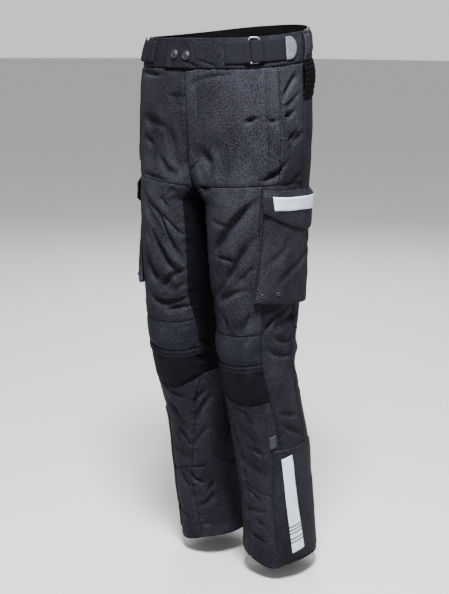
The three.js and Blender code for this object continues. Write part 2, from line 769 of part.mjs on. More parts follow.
// A flat frame or a turned fitting, set upright on the cloth
function seat(mesh, side, angle, height, out) {
  const normal = formNormal(side, angle, height);
  const up = new THREE.Vector3(0, 0, 1).addScaledVector(normal, -normal.z).normalize();
  const across = up.clone().cross(normal);
  mesh.quaternion.setFromRotationMatrix(new THREE.Matrix4().makeBasis(across, up, normal));
  mesh.position.copy(clothPoint(side, angle, height, out));
}

function roundedFrame(path, wide, tall, corner) {
  const x = wide / 2;
  const y = tall / 2;
  path.moveTo(x, y - corner);
  path.absarc(x - corner, y - corner, corner, 0, Math.PI / 2);
  path.absarc(corner - x, y - corner, corner, Math.PI / 2, Math.PI);
  path.absarc(corner - x, corner - y, corner, Math.PI, 1.5 * Math.PI);
  path.absarc(x - corner, corner - y, corner, 1.5 * Math.PI, 2 * Math.PI);
  return path;
}

function addRing(side, sideName) {
  const frame = roundedFrame(new THREE.Shape(), RING.wide, RING.tall, RING.corner);
  const wide = RING.wide - 2 * RING.bar;
  const tall = RING.tall - 2 * RING.bar;
  frame.holes.push(roundedFrame(new THREE.Path(), wide, tall, RING.corner - RING.bar / 2));
  const shape = { depth: RING.thick, bevelEnabled: false, curveSegments: RING.cornerSteps };
  const geometry = new THREE.ExtrudeGeometry(frame, shape);
  const mesh = add(`strap_ring_${sideName}`, geometry, STEEL);
  seat(mesh, side, RING.angle, RING.height, RING.out);
}

function addStrap(side, sideName) {
  const out = BAND.out + STAND_OFF;
  addCloth(`strap_anchor_${sideName}`, WEBBING, ANCHOR.rows, ANCHOR.columns, (u, v) => ({
    side,
    angle: lerp(ANCHOR.front, ANCHOR.back, u),
    height: lerp(ANCHOR.top, ANCHOR.bottom, v),
    out: out + ANCHOR.thick,
    thick: ANCHOR.thick,
  }));
  addCloth(`waist_strap_${sideName}`, WEBBING, STRAP.rows, STRAP.columns, (u, v) => ({
    side,
    angle: lerp(STRAP.front, STRAP.back, u),
    height: lerp(STRAP.top, STRAP.bottom, v),
    out: out + STRAP.thick,
    thick: STRAP.thick,
  }));
  addCloth(`strap_end_${sideName}`, GREY_RUBBER, STRAP_END.rows, STRAP_END.columns, (u, v) => {
    const round = Math.sqrt(1 - (2 * v - 1) ** 2 * (1 - STRAP_END.rounding ** 2));
    const start = STRAP.back + STRAP_END.gap;
    const angle = lerp(start, STRAP_END.back, u * round);
    const height = lerp(STRAP_END.top, STRAP_END.bottom, v);
    return { side, angle, height, out: out + STRAP_END.thick, thick: STRAP_END.thick };
  });
}

function addBeltLoop(loop, side, sideName) {
  addCloth(`${loop.name}_${sideName}`, CLOTH, LOOP.rows, LOOP.columns, (u, v) => {
    const arch = smoothstep(Math.min(v, 1 - v), LOOP.riseFrom, LOOP.riseTo);
    const foot = BAND.out + STAND_OFF + LOOP.thick;
    return {
      side,
      angle: loop.angle + loop.half * (2 * u - 1),
      height: lerp(LOOP.top, LOOP.bottom, v),
      out: lerp(foot, LOOP.out, arch),
      thick: LOOP.thick,
    };
  });
}

function lathe(name, profile, segments, material) {
  const geometry = new THREE.LatheGeometry(profile.map(([r, z]) => new THREE.Vector2(r, z)), segments);
  geometry.rotateX(Math.PI / 2);
  return add(name, geometry, material);
}

function addSnap({ name, turn, height, rise }) {
  const { radius, shoulder, cap, rim, shoulderTall, tall } = SNAP;
  const profile = [[0, 0], [radius, 0], [radius, rim], [shoulder, shoulderTall], [cap, tall], [0, tall]];
  const mesh = lathe(name, profile, SNAP.sides, DARK_STEEL);
  const { side, angle } = bandPlace(turn);
  seat(mesh, side, angle, height, LAP.out + rise);
}

function addEyelet(name, side, angle) {
  const { outer, inner, thick, bevel } = EYELET;
  const wall = [[outer, 0], [outer, thick / 2], [outer - bevel, thick]];
  const profile = [[inner, 0], ...wall, [inner, thick], [inner, 0]];
  const mesh = lathe(name, profile, EYELET.sides, DARK_STEEL);
  seat(mesh, side, angle, EYELET.height, pocketOut(angle, EYELET.height) + STAND_OFF);
}

for (const [sideName, side] of [['left', 1], ['right', -1]]) {
  for (const panel of PANELS) addPanel(panel, side, sideName);
  addWelt(side, sideName);
  addPocket(side, sideName);
  addEyelet(`pocket_eyelet_front_${sideName}`, side, EYELET.angles.front);
  addEyelet(`pocket_eyelet_back_${sideName}`, side, EYELET.angles.back);
  addLowerLegTrim(side, sideName);
  addStrap(side, sideName);
  addRing(side, sideName);
  for (const loop of LOOPS) addBeltLoop(loop, side, sideName);
}
addYoke();
addFly();
addWaistband();
for (const snap of SNAPS) addSnap(snap);

export default group;
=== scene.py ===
import math

import bpy
import numpy as np
from mathutils import Matrix, Vector


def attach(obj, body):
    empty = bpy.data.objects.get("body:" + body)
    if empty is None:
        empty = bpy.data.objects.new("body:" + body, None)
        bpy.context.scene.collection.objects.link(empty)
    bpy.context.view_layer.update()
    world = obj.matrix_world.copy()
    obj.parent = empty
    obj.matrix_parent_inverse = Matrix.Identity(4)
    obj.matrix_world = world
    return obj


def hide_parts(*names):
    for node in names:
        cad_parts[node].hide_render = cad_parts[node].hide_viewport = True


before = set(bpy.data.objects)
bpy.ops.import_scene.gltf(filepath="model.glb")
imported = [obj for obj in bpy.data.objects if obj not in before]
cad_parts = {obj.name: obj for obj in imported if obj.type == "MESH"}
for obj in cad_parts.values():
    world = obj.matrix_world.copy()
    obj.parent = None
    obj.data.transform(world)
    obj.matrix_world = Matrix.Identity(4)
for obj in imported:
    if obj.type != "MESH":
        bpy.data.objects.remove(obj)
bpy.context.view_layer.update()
bpy.ops.object.select_all(action="DESELECT")

# Studio: a pale floor just under the hems, soft lamps and a camera at the photograph's angle.
# Lengths in this file are millimetres on the trousers, and metres for the room.
MM = 0.001
FLOOR_HEIGHT = -1.062
FLOOR_COLOUR = (0.42, 0.42, 0.42, 1)
DAYLIGHT = 0.9
CAMERA = {"place": (1.2943, -1.6552, 0.035), "turn": 38.5, "down": 13.76, "lens": 65.13}
LAMPS = [
    {"name": "key", "place": (0.8, -1.0, 1.75), "size": 0.6, "power": 365, "aim": (0, 0, -0.35)},
    {"name": "back", "place": (-1.6, 2.4, 1.4), "size": 1.8, "power": 130, "aim": (0, 0, -0.4)},
]

bpy.ops.mesh.primitive_plane_add(size=80, location=(0, 0, FLOOR_HEIGHT))
floor = bpy.context.object
floor.name = "floor"
floor_finish = bpy.data.materials.new("pale_floor")
floor_finish.use_nodes = True
floor_inputs = floor_finish.node_tree.nodes["Principled BSDF"].inputs
floor_inputs["Base Color"].default_value = FLOOR_COLOUR
floor_inputs["Roughness"].default_value = 0.9
floor.data.materials.append(floor_finish)
floor.select_set(False)

for lamp in LAMPS:
    bpy.ops.object.light_add(type="AREA", location=lamp["place"])
    light = bpy.context.object
    light.name = "lamp_" + lamp["name"]
    light.data.size = lamp["size"]
    light.data.energy = lamp["power"]
    aim = Vector(lamp["aim"]) - light.location
    light.rotation_euler = aim.to_track_quat("-Z", "Y").to_euler()

world = bpy.data.worlds.new("studio")
world.use_nodes = True
world.node_tree.nodes["Background"].inputs["Color"].default_value = (1, 1, 1, 1)
world.node_tree.nodes["Background"].inputs["Strength"].default_value = DAYLIGHT
bpy.context.scene.world = world

bpy.ops.object.camera_add(location=CAMERA["place"])
camera = bpy.context.object
camera.rotation_euler = (math.radians(90 - CAMERA["down"]), 0, math.radians(CAMERA["turn"]))
camera.data.lens = CAMERA["lens"]
camera.data.sensor_width = 36
camera.data.clip_end = 50
bpy.context.scene.camera = camera
bpy.ops.object.select_all(action="DESELECT")

# Finishes. The trousers are sewn from a coarse charcoal-black nylon weave, a finer one on the
# waistband, heavier cloth on the knees, and a smooth stretch cloth inside the legs and across the
# back. Trim is webbing, reflective film, grey rubber and steel.


class Field:
    """A number, colour or vector that varies over a surface. Sums on it add Math nodes."""

    def __init__(self, finish, socket):
        self.finish = finish
        self.socket = socket

    def __add__(self, other):
        return self.finish.math("ADD", self, other)

    def __sub__(self, other):
        return self.finish.math("SUBTRACT", self, other)

    def __rsub__(self, other):
        return self.finish.math("SUBTRACT", other, self)

    def __mul__(self, other):
        return self.finish.math("MULTIPLY", self, other)

    __radd__ = __add__
    __rmul__ = __mul__


class Finish:
    """One material. node() adds a node with its settings first, then its sockets' values or links."""

    def __init__(self, name, roughness, metallic=0.0, coat=0.0, gloss=0.5):
        self.material = bpy.data.materials.new(name)
        self.material.use_nodes = True
        self.tree = self.material.node_tree
        self.shader = self.tree.nodes["Principled BSDF"]
        constants = {"Roughness": roughness, "Metallic": metallic, "Specular IOR Level": gloss}
        constants.update({"Coat Weight": coat, "Coat Roughness": 0.35})
        for socket, value in constants.items():
            self.shader.inputs[socket].default_value = value

    def node(self, kind, settings, sockets, output=0):
        node = self.tree.nodes.new(kind)
        for name, value in settings.items():
            setattr(node, name, value)
        for name, value in sockets.items():
            self.set(node.inputs[name], value)
        return Field(self, node.outputs[output])

    def set(self, socket, value):
        if isinstance(value, Field):
            self.tree.links.new(value.socket, socket)
        else:
            socket.default_value = value

    def math(self, operation, first, second=0.0):
        return self.node("ShaderNodeMath", {"operation": operation}, {0: first, 1: second})

    def clip(self, value, low, high):
        steps = {"Value": value, "From Min": low, "From Max": high}
        return self.node("ShaderNodeMapRange", {"interpolation_type": "SMOOTHSTEP"}, steps)

    def mix(self, share, first, second):
        sockets = {"Factor": share, 6: first, 7: second}
        return self.node("ShaderNodeMix", {"data_type": "RGBA"}, sockets, 2)

    def noise(self, place, scale, detail=3.0):
        sockets = {"Vector": place, "Scale": scale, "Detail": detail, "Roughness": 0.55}
        return self.node("ShaderNodeTexNoise", {}, sockets)

    def stretched(self, place, across, down):
        sockets = {"Vector": place, "Scale": (across, down, 1.0)}
        return self.node("ShaderNodeMapping", {}, sockets)

    def streaks(self, place, across, down, detail=3.0):
        """Noise with so many spots to the metre across and down."""
        return self.noise(self.stretched(place, across, down), 1.0, detail)

    def on_cloth(self):
        """The place along a piece of cloth in metres."""
        return self.node("ShaderNodeUVMap", {"uv_map": "cloth"}, {})

    def parts(self, place):
        """How far across and how far down the cloth a place is."""
        across = self.node("ShaderNodeSeparateXYZ", {}, {"Vector": place})
        return across, Field(self, across.socket.node.outputs[1])

    def in_object(self):
        """The place within an object in metres."""
        return self.node("ShaderNodeTexCoord", {}, {}, 3)

    def raise_by(self, height, distance):
        sockets = {"Height": height, "Distance": distance, "Strength": 1.0}
        self.set(self.shader.inputs["Normal"], self.node("ShaderNodeBump", {}, sockets))

    def show(self, socket, value):
        self.set(self.shader.inputs[socket], value)


def shade(red, green, blue):
    return (red, green, blue, 1)


RUBBED = shade(0.048, 0.049, 0.062)
GRAIN = (430, 340)
CLOUDS = (14, 9)
WEAR = (30, 22)


def woven(name, deep, lit, thread, relief, roughness, worn, gloss):
    """Cloth woven from threads `thread` mm wide, coloured from deep to lit."""
    finish = Finish(name, roughness, gloss=gloss)
    place = finish.on_cloth()
    across, down = finish.parts(place)
    turns = math.pi / (thread * MM)
    warp = finish.math("SINE", across * turns)
    weft = finish.math("SINE", down * turns)
    knots = warp * weft
    slub_down = finish.streaks(place, 900 / thread, 130 / thread)
    slub_across = finish.streaks(place, 130 / thread, 900 / thread)
    yarn = slub_down * 0.5 + slub_across * 0.5
    grain = finish.streaks(place, *GRAIN)
    cloudy = finish.streaks(place, *CLOUDS, 4.0)
    light = finish.clip(grain + yarn * 0.6 + knots * 0.12 + cloudy * 0.4, 0.76, 1.28)
    rubbed = finish.clip(finish.streaks(place, *WEAR, 6.0), 0.55, 0.8) * worn
    finish.show("Base Color", finish.mix(rubbed, finish.mix(light, deep, lit), RUBBED))
    finish.show("Roughness", roughness + (light - 0.5) * 0.12)
    finish.raise_by(knots * 0.15 + yarn * 0.7 + grain * 0.4, relief * MM)
    return finish.material


def fine_grained(name, deep, lit, scale, detail, relief, roughness=0.5, spread=0.0, worn=None, **shine):
    """Rubber, thread or metal with a fine grain, and worn lighter in spots where worn is given."""
    finish = Finish(name, roughness, **shine)
    place = finish.in_object()
    grain = finish.noise(place, scale, detail)
    colour = finish.mix(grain, deep, lit)
    if worn:
        spots = finish.clip(finish.noise(place, 110, 5.0), 0.45, 0.8)
        colour = finish.mix(spots * 0.35, colour, worn)
    finish.show("Base Color", colour)
    if spread:
        finish.show("Roughness", roughness + grain * spread)
    finish.raise_by(grain, relief * MM)
    return finish.material


main_cloth = woven(
    "main_cloth", shade(0.0016, 0.0016, 0.0024), shade(0.0235, 0.0236, 0.0312), 1.3, 0.7, 0.6, 0.15, 0.025
)
# The waistband cloth is a darker copy of the main weave: painted shade, holding down the light its
# upward-tilted face catches.
band_cloth = woven(
    "band_cloth", shade(0.0012, 0.0012, 0.0018), shade(0.0135, 0.0136, 0.0185), 1.1, 0.6, 0.6, 0.15, 0.025
)
knee_cloth = woven(
    "knee_cloth", shade(0.0016, 0.0017, 0.0026), shade(0.0190, 0.0198, 0.0270), 1.6, 1.0, 0.6, 0.2, 0.025
)
knee_guard = woven(
    "knee_guard", shade(0.0012, 0.0012, 0.0018), shade(0.0090, 0.0094, 0.0130), 1.0, 0.5, 0.6, 0.1, 0.02
)
stretch_cloth = woven(
    "stretch_cloth", shade(0.0012, 0.0012, 0.0016), shade(0.0050, 0.0050, 0.0066), 0.8, 0.3, 0.65, 0.03, 0.015
)
# Near-black finish for the inner faces of every cloth piece: painted shade for the dark inside of the
# trousers.
INSIDE_SHADE = (shade(0.0004, 0.0004, 0.0005), shade(0.0012, 0.0012, 0.0015))
dark_inside = Finish("dark_inside", 0.8, gloss=0.05)
inside_shade_noise = dark_inside.noise(dark_inside.on_cloth(), 700)
dark_inside.show("Base Color", dark_inside.mix(inside_shade_noise, *INSIDE_SHADE))
dark_inside.raise_by(inside_shade_noise, 0.1 * MM)

# each look is a finish and the slot of the part's table that it belongs to
MAIN = (main_cloth, "cloth")
SHADED_BAND_LOOK = (band_cloth, "cloth")
STRETCH = (stretch_cloth, "stretch_cloth")
PANEL_LOOKS = {
    "main": MAIN, "stretch": STRETCH, "knee": (knee_cloth, "knee_cloth"), "guard": (knee_guard, "knee_cloth"),
}

# The form of the trousers, filled out as when worn. A place on the cloth is a side (1 left,
# -1 right), an angle round that side's half or leg (-90 front, 0 outside, 90 back, 180 inside)
# and a height. Lines across and down the trousers are smooth through the rows of these tables.
BAND_TOP = 28
BAND_BOTTOM = -26
YOKE_BOTTOM = -90
CROTCH_START = -150
CROTCH = -270
BACK_RISE = 22
BACK_TILT = 0.45
BACK_RISE_FROM = -28
BACK_RISE_TO = -200
SEAM_GAP = 0.3
SQUARE = 2.25
CLOSING_POWER = 1.6
OUTLINE = {
    "height": [40, -28, -100, -180, -270, -400, -500, -570, -640, -760, -880, -1026],
    "reach": [155, 171, 179, 182, 163, 161, 161, 159, 159, 158, 157, 155],
    "leg": [77.5, 85.5, 89.5, 91, 81.2, 76, 71, 70, 71, 74, 68, 70],
    "front": [127, 122, 112, 99, 105, 96, 84, 78, 76, 73, 75, 81],
    "back": [111, 120, 127, 127, 123, 104, 91, 78, 74, 79, 81, 82],
    "axis": [-9, -22, -31, -38, -37, -40, -41, -39, -22, 12, 29, 55],
}
SEAMS = {
    "slash": ([-26, -120, -160, -232], [-23, -20, -18, -22]),
    "outseam": ([-26, -156, -240, -600, -1026], [3, 5, 10, 14, 10]),
    "front_outer": ([-226, -450, -580, -640, -710, -1026], [-38, -39, -43, -40, -37, -40]),
    "front_inner": (
        [-240, -350, -470, -530, -620, -680, -760, -1026],
        [-128, -135, -142, -154, -152, -128, -109, -104],
    ),
    "back_inner": ([-240, -350, -620, -1026], [128, 133, 140, 130]),
}
LEVELS = {
    "band_bottom": ([-180, 180], [BAND_BOTTOM, BAND_BOTTOM]),
    "yoke": ([-180, 180], [YOKE_BOTTOM, YOKE_BOTTOM]),
    "thigh": (
        [-180, -128, -90, -60, -30, 30, 90, 128, 180],
        [-246, -244, -238, -234, -232, -233, -238, -244, -246],
    ),
    "knee_top": ([-180, -95, -40, 90, 180], [-506, -520, -512, -516, -506]),
    "knee_middle": ([-180, -95, -40, 90, 180], [-566, -580, -572, -578, -566]),
    "knee_bottom": ([-180, -152, -122, -90, -40, 90, 180], [-626, -630, -650, -663, -654, -650, -626]),
    "shin": ([-180, -104, -75, -45, 90, 180], [-838, -848, -861, -868, -856, -838]),
    "hem": (
        [-180, -130, -110, -95, -76, -56, -38, 0, 30, 90, 140, 180],
        [-1008, -1010, -1014, -1022, -1031, -1031, -1023, -1021, -1026, -1026, -1018, -1008],
    ),
}


def along(places, values, at):
    """A smooth line through the places of a table, rising or falling, and their values."""
    places, values = np.array(places, float), np.array(values, float)
    if places[0] > places[-1]:
        places, values = places[::-1], values[::-1]
    straight = np.full(2, np.diff(values) / np.diff(places)) if len(places) == 2 else None
    slopes = np.gradient(values, places) if straight is None else straight
    at = np.clip(at, places[0], places[-1])
    row = np.clip(np.searchsorted(places, at, side="right") - 1, 0, len(places) - 2)
    span = places[row + 1] - places[row]
    t = (at - places[row]) / span
    start = (1 + 2 * t) * (1 - t) ** 2 * values[row] + t * (1 - t) ** 2 * span * slopes[row]
    return start + t * t * (3 - 2 * t) * values[row + 1] - t * t * (1 - t) * span * slopes[row + 1]


def smooth(value, low, high):
    t = np.clip((value - low) / (high - low), 0, 1)
    return t * t * (3 - 2 * t)


def between(first, last, share):
    return first + (last - first) * share


def bend(value):
    return np.sign(value) * np.abs(value) ** (2 / SQUARE)


def closing(height):
    """0 where the two halves are open to each other, 1 where the legs part."""
    return np.clip((CROTCH_START - height) / (CROTCH_START - CROTCH), 0, 1) ** CLOSING_POWER


def centre_angle(height):
    return np.degrees(np.arccos(-(closing(height) ** (SQUARE / 2))))


def crotch_height(angle):
    inward = np.maximum(-np.cos(np.radians(angle)), 0) ** (2 / SQUARE)
    return CROTCH_START - inward ** (1 / CLOSING_POWER) * (CROTCH_START - CROTCH)


def ring_at(height):
    column = {name: along(OUTLINE["height"], values, height) for name, values in OUTLINE.items()}
    half = np.where(height > CROTCH, column["reach"] / (1 + closing(height)), column["leg"])
    return column["reach"] - half, half, column


def form_point(side, angle, height):
    middle, half, ring = ring_at(height)
    turn = np.radians(angle)
    depth = np.where(np.sin(turn) < 0, ring["front"], ring["back"])
    x = middle + half * bend(np.cos(turn)) + SEAM_GAP / 2
    y = ring["axis"] + depth * bend(np.sin(turn))
    tilt = 1 + BACK_TILT * side * np.cos(turn)
    towards_back = (0.5 + 0.5 * np.sin(turn)) ** 1.5
    rise = smooth(height, BACK_RISE_TO, BACK_RISE_FROM) * BACK_RISE * tilt * towards_back
    return np.stack([side * x, y, height + rise], axis=-1)


def form_normal(side, angle, height):
    step = 0.5
    across = form_point(side, angle + step, height) - form_point(side, angle - step, height)
    up = form_point(side, angle, height + step) - form_point(side, angle, height - step)
    normal = np.cross(across, up) * np.asarray(side)[..., None]
    return normal / np.linalg.norm(normal, axis=-1, keepdims=True)


def degree_length(angle, height):
    step = 0.25
    span = form_point(1, angle + step, height) - form_point(1, angle - step, height)
    return np.linalg.norm(span, axis=-1) / (2 * step)


def wrap(angle):
    return angle - 360 * np.round(angle / 360)


def level_height(name, angle):
    height = along(*LEVELS[name], wrap(angle))
    return np.minimum(height, crotch_height(angle)) if name == "thigh" else height


# Folds and creases in the cloth, as it hangs filled out. A trough's depth is above 0 and a
# ridge's below. The largest are in the solids too, and bow is how far their middle hangs.
FOLD_DEGREE = 1.6
# side, angle and height of the start, the same of the end, width, depth, bow
FOLDS = [
    (-1, -66, -262, -128, -385, 46, 7, 10),
    (-1, -72, -322, -136, -436, 44, 6, 12),
    (-1, -66, -392, -126, -452, 40, 5, 10),
    (-1, -72, -462, -140, -482, 38, 5, 14),
    (-1, -100, -130, -100, -226, 40, 6, 0),
    (-1, -58, -110, -70, -215, 44, 5, 0),
    (1, -50, -262, -106, -362, 46, 7, 8),
    (1, -54, -338, -92, -412, 42, 6, 8),
    (1, -56, -388, -112, -450, 40, 5, 10),
    (1, -50, -470, -84, -512, 38, 5, 4),
    (1, -70, -150, -80, -232, 30, 5, 0),
    (1, 20, -478, -28, -500, 36, 5, 6),
    (-1, 16, -480, -26, -506, 36, 5, 6),
    (1, 30, -560, 120, -566, 46, -7, 6),
    (-1, 34, -552, 124, -562, 46, -7, 8),
    (1, 36, -600, 116, -612, 42, 8, 8),
    (-1, 30, -596, 112, -606, 42, 8, 10),
    (1, 60, -258, 122, -330, 50, 7, 10),
    (-1, 66, -250, 122, -318, 50, 7, 12),
    (1, 52, -350, 118, -420, 46, 6, 10),
    (-1, 58, -362, 124, -424, 46, 6, 8),
    (-1, -72, -700, -98, -760, 38, 5, 4),
    (-1, -66, -810, -100, -830, 36, 4, 6),
    (1, -100, -702, -72, -756, 38, 5, 4),
    (1, -102, -790, -68, -822, 36, 4, 4),
    (1, 56, -720, 112, -790, 46, 5, 8),
    (-1, 60, -700, 118, -772, 46, 5, 8),
    (1, 60, -880, 116, -930, 44, 4, 6),
    (-1, 58, -866, 112, -920, 44, 4, 6),
]
# side, the (angle, height) places the crease runs through, width, depth
CREASES = [
    (1, [(-37, -250), (-59, -277), (-81, -310), (-96, -342), (-115, -374)], 28, 5.0),
    (1, [(-40, -322), (-58, -352), (-76, -388), (-96, -424), (-126, -460)], 28, 4.6),
    (1, [(-46, -378), (-60, -396), (-72, -410)], 18, 2.4),
    (1, [(-102, -368), (-89, -367), (-74, -372)], 20, 3.6),
    (1, [(-52, -422), (-75, -430), (-94, -444), (-110, -462)], 26, 3.2),
    (1, [(4, -464), (-24, -490), (-40, -512)], 20, 3.8),
    (1, [(26, -484), (-4, -496)], 20, 2.0),
    (1, [(-104, -472), (-94, -504), (-104, -524)], 20, 2.6),
    (1, [(-59, -468), (-66, -492), (-79, -520)], 16, 2.4),
    (1, [(22, -568), (-12, -560), (-34, -544)], 28, 3.6),
    (1, [(-106, -676), (-87, -680), (-78, -716)], 24, 3.2),
    (1, [(-31, -676), (7, -696)], 28, 2.2),
    (1, [(-32, -704), (14, -748)], 26, 2.6),
    (1, [(-51, -124), (-45, -112), (-39, -112)], 16, 2.4),
    (1, [(-33, -120), (-21, -116)], 14, 2.0),
    (1, [(-2, -44), (-14, -68), (-18, -80)], 18, 2.6),
    (1, [(0, -72), (-10, -88), (-20, -100)], 18, 2.6),
    (1, [(-5, -100), (-13, -112), (-19, -116)], 18, 2.6),
    (1, [(-16, -204), (-26, -214), (-44, -225)], 20, 3.4),
    (1, [(6, -206), (0, -226), (-16, -236)], 18, 3.0),
    (1, [(-103, -860), (-89, -868), (-78, -884)], 20, 2.2),
    (1, [(-82, -712), (-74, -728)], 24, 2.6),
    (1, [(-111, -748), (-101, -780), (-111, -812)], 26, 2.4),
    (1, [(-89, -920), (-75, -936)], 26, 2.2),
    (1, [(-88, -764), (-65, -776)], 26, 2.4),
    (1, [(-102, -956), (-70, -976)], 28, 2.6),
    (1, [(-108, -900), (-84, -904), (-63, -900)], 22, 2.2),
    (-1, [(-66, -262), (-91, -294), (-109, -344), (-126, -386), (-138, -404)], 24, 4.6),
    (-1, [(-93, -290), (-114, -318), (-132, -346)], 20, 2.8),
    (-1, [(-80, -322), (-94, -368), (-114, -406), (-132, -416)], 26, 4.4),
    (-1, [(-70, -372), (-84, -416), (-92, -446)], 24, 3.8),
    (-1, [(-90, -456), (-119, -421), (-141, -404)], 24, 4.0),
    (-1, [(-74, -468), (-88, -476), (-122, -473), (-150, -459)], 20, 3.6),
    (-1, [(-101, -497), (-129, -488), (-157, -484)], 18, 3.4),
    (-1, [(-98, -264), (-110, -288)], 26, 2.4),
    (-1, [(-115, -456), (-138, -436)], 22, 2.4),
    (-1, [(-103, -244), (-112, -260)], 24, 2.0),
    (-1, [(-40, -36), (-65, -40), (-77, -40)], 18, 2.4),
    (-1, [(-44, -120), (-65, -124), (-77, -140)], 36, 3.0),
    (-1, [(-83, -68), (-84, -100)], 28, 2.4),
    (-1, [(-91, -668), (-129, -640), (-153, -628)], 16, 2.4),
    (-1, [(-73, -656), (-88, -680), (-110, -684)], 20, 3.4),
    (-1, [(-71, -704), (-81, -720), (-87, -732)], 20, 3.0),
    (-1, [(-152, -664), (-128, -684), (-116, -712)], 20, 3.0),
    (-1, [(-161, -676), (-128, -716), (-111, -756)], 24, 3.0),
    (-1, [(-81, -764), (-91, -784), (-101, -804)], 22, 3.0),
    (-1, [(-138, -748), (-120, -772), (-107, -796)], 26, 3.0),
    (-1, [(-96, -848), (-113, -848), (-129, -844)], 18, 2.8),
    (-1, [(-96, -860), (-108, -876), (-126, -884)], 20, 3.4),
    (-1, [(-77, -860), (-87, -888), (-96, -908)], 18, 2.8),
    (-1, [(-144, -880), (-135, -896), (-126, -908)], 22, 2.6),
    (-1, [(-148, -904), (-121, -932), (-96, -944)], 28, 2.8),
    (-1, [(-48, -952), (-74, -968), (-98, -976)], 26, 2.4),
    (-1, [(-96, -988), (-128, -980)], 24, 1.8),
    (1, [(30, -150), (64, -196), (104, -232)], 34, 3.2),
    (-1, [(26, -144), (58, -184), (98, -226)], 36, 3.4),
    (1, [(84, -250), (108, -286), (124, -336)], 26, 3.6),
    (-1, [(88, -244), (112, -284), (126, -330)], 28, 3.8),
    (1, [(58, -446), (92, -470), (126, -462)], 26, 3.0),
    (-1, [(54, -436), (88, -458), (124, -450)], 26, 3.2),
    (1, [(40, -530), (78, -542), (118, -530)], 22, 3.4),
    (-1, [(36, -522), (74, -536), (112, -524)], 22, 3.4),
    (1, [(28, -588), (64, -604), (96, -586)], 20, 3.0),
    (-1, [(24, -584), (58, -602), (94, -588)], 22, 3.2),
    (1, [(30, -636), (70, -668), (118, -690)], 26, 3.0),
    (-1, [(34, -628), (76, -664), (116, -682)], 26, 3.2),
    (1, [(52, -810), (86, -846), (120, -852)], 28, 2.6),
    (-1, [(48, -818), (80, -850), (118, -862)], 28, 2.8),
    (1, [(60, -952), (90, -972), (122, -966)], 26, 2.4),
    (-1, [(56, -944), (92, -966), (120, -960)], 26, 2.4),
    (1, [(-24, -520), (0, -536), (24, -530)], 24, 2.8),
    (-1, [(-28, -522), (-4, -540), (20, -532)], 24, 2.8),
    (-1, [(20, -566), (-12, -562), (-34, -548)], 26, 3.2),
    (-1, [(-30, -670), (10, -690)], 26, 2.4),
    (-1, [(-34, -700), (12, -744)], 26, 2.4),
    (-1, [(8, -464), (-14, -482), (-32, -502)], 22, 3.0),
    (1, [(-140, -330), (-160, -400), (-172, -470)], 30, 2.4),
    (-1, [(-146, -350), (-164, -420), (-176, -480)], 30, 2.4),
    (1, [(-150, -560), (-172, -590), (-196, -600)], 26, 2.6),
    (-1, [(-152, -552), (-176, -580), (-200, -592)], 26, 2.6),
    (1, [(-130, -720), (-160, -760), (-190, -770)], 30, 2.4),
    (-1, [(-136, -810), (-164, -840), (-192, -846)], 30, 2.4),
    (1, [(-83, -172), (-86, -196), (-93, -228)], 20, 4.2),
    (1, [(-49, -120), (-44, -112), (-40, -112)], 16, 2.6),
    (1, [(-34, -116), (-27, -120)], 16, 2.4),
    (1, [(-21, -88), (-13, -60), (-4, -40)], 18, 3.0),
    (1, [(-18, -116), (-11, -108)], 16, 2.4),
    (1, [(-16, -156), (-4, -136)], 18, 3.0),
    (1, [(-37, -220), (-23, -208), (-12, -184)], 18, 3.0),
    (1, [(-112, -244), (-95, -240)], 22, 3.2),
    (1, [(-106, -302), (-92, -305), (-82, -312)], 24, 2.4),
    (-1, [(-74, -128), (-82, -172), (-97, -212), (-117, -240)], 34, 4.2),
    (-1, [(-72, -184), (-88, -212), (-104, -236)], 22, 3.4),
    (-1, [(-89, -128), (-89, -156), (-97, -192), (-114, -224)], 24, 3.4),
    (-1, [(-48, -152), (-65, -176)], 22, 2.8),
    (-1, [(-54, -228), (-84, -232), (-101, -236)], 18, 2.6),
    (1, [(-82, -160), (-89, -190), (-102, -238)], 30, 4.4),
    (1, [(-87, -66), (-82, -46), (-69, -38), (-55, -34)], 14, 2.0),
    (1, [(-86, -8), (-77, -16), (-68, -24)], 9, 1.4),
    (1, [(-89.5, -10), (-86, -18), (-80, -25)], 9, 1.4),
    (1, [(3, -138), (-4, -150), (-13, -165)], 16, 2.6),
]
CURVE_STEPS = 40
FLANKS = (0.78, 1.25)
CREASE_LIFT = 1.7
NOISE = np.random.default_rng(7).uniform(-1, 1, 4096)


def rumple(across, down, size):
    """Smooth uneven waves up to 1 high, with humps about size apart."""
    column, row = np.floor(across / size), np.floor(down / size)
    s, t = smooth(across / size - column, 0, 1), smooth(down / size - row, 0, 1)

    def corner(i, j):
        return NOISE[((column + i) * 71 + (row + j) * 997).astype(int) % NOISE.size]

    above = corner(0, 0) * (1 - s) + corner(1, 0) * s
    return above * (1 - t) + (corner(0, 1) * (1 - s) + corner(1, 1) * s) * t


def fold_out(side, angle, height):
    out = np.zeros(np.broadcast(side, angle, height).shape)
    for fold_side, a, a_height, b, b_height, width, depth, bow in FOLDS:
        run, drop = wrap(b - a) * FOLD_DEGREE, b_height - a_height
        dx, dz = wrap(angle - a) * FOLD_DEGREE, height - a_height
        t = np.clip((dx * run + dz * drop) / (run * run + drop * drop), 0, 1)
        hang = bow * 4 * t * (1 - t)
        apart = np.minimum(np.hypot(dx - t * run, dz - t * drop + hang) / (width / 2), 1)
        ends = smooth(t, -0.12, 0.3) * smooth(1 - t, -0.12, 0.3)
        out -= np.where(side == fold_side, depth * ends * np.cos(np.pi / 2 * apart) ** 2, 0)
    return out


def curve_through(places):
    """Places evenly spread on a smooth curve through a few places."""
    places = np.array(places, float)
    marks = np.concatenate([[0], np.cumsum(np.linalg.norm(np.diff(places, axis=0), axis=1))])
    at = np.linspace(0, marks[-1], CURVE_STEPS)
    return np.stack([along(marks, places[:, i], at) for i in range(2)], axis=-1) * (FOLD_DEGREE, 1)


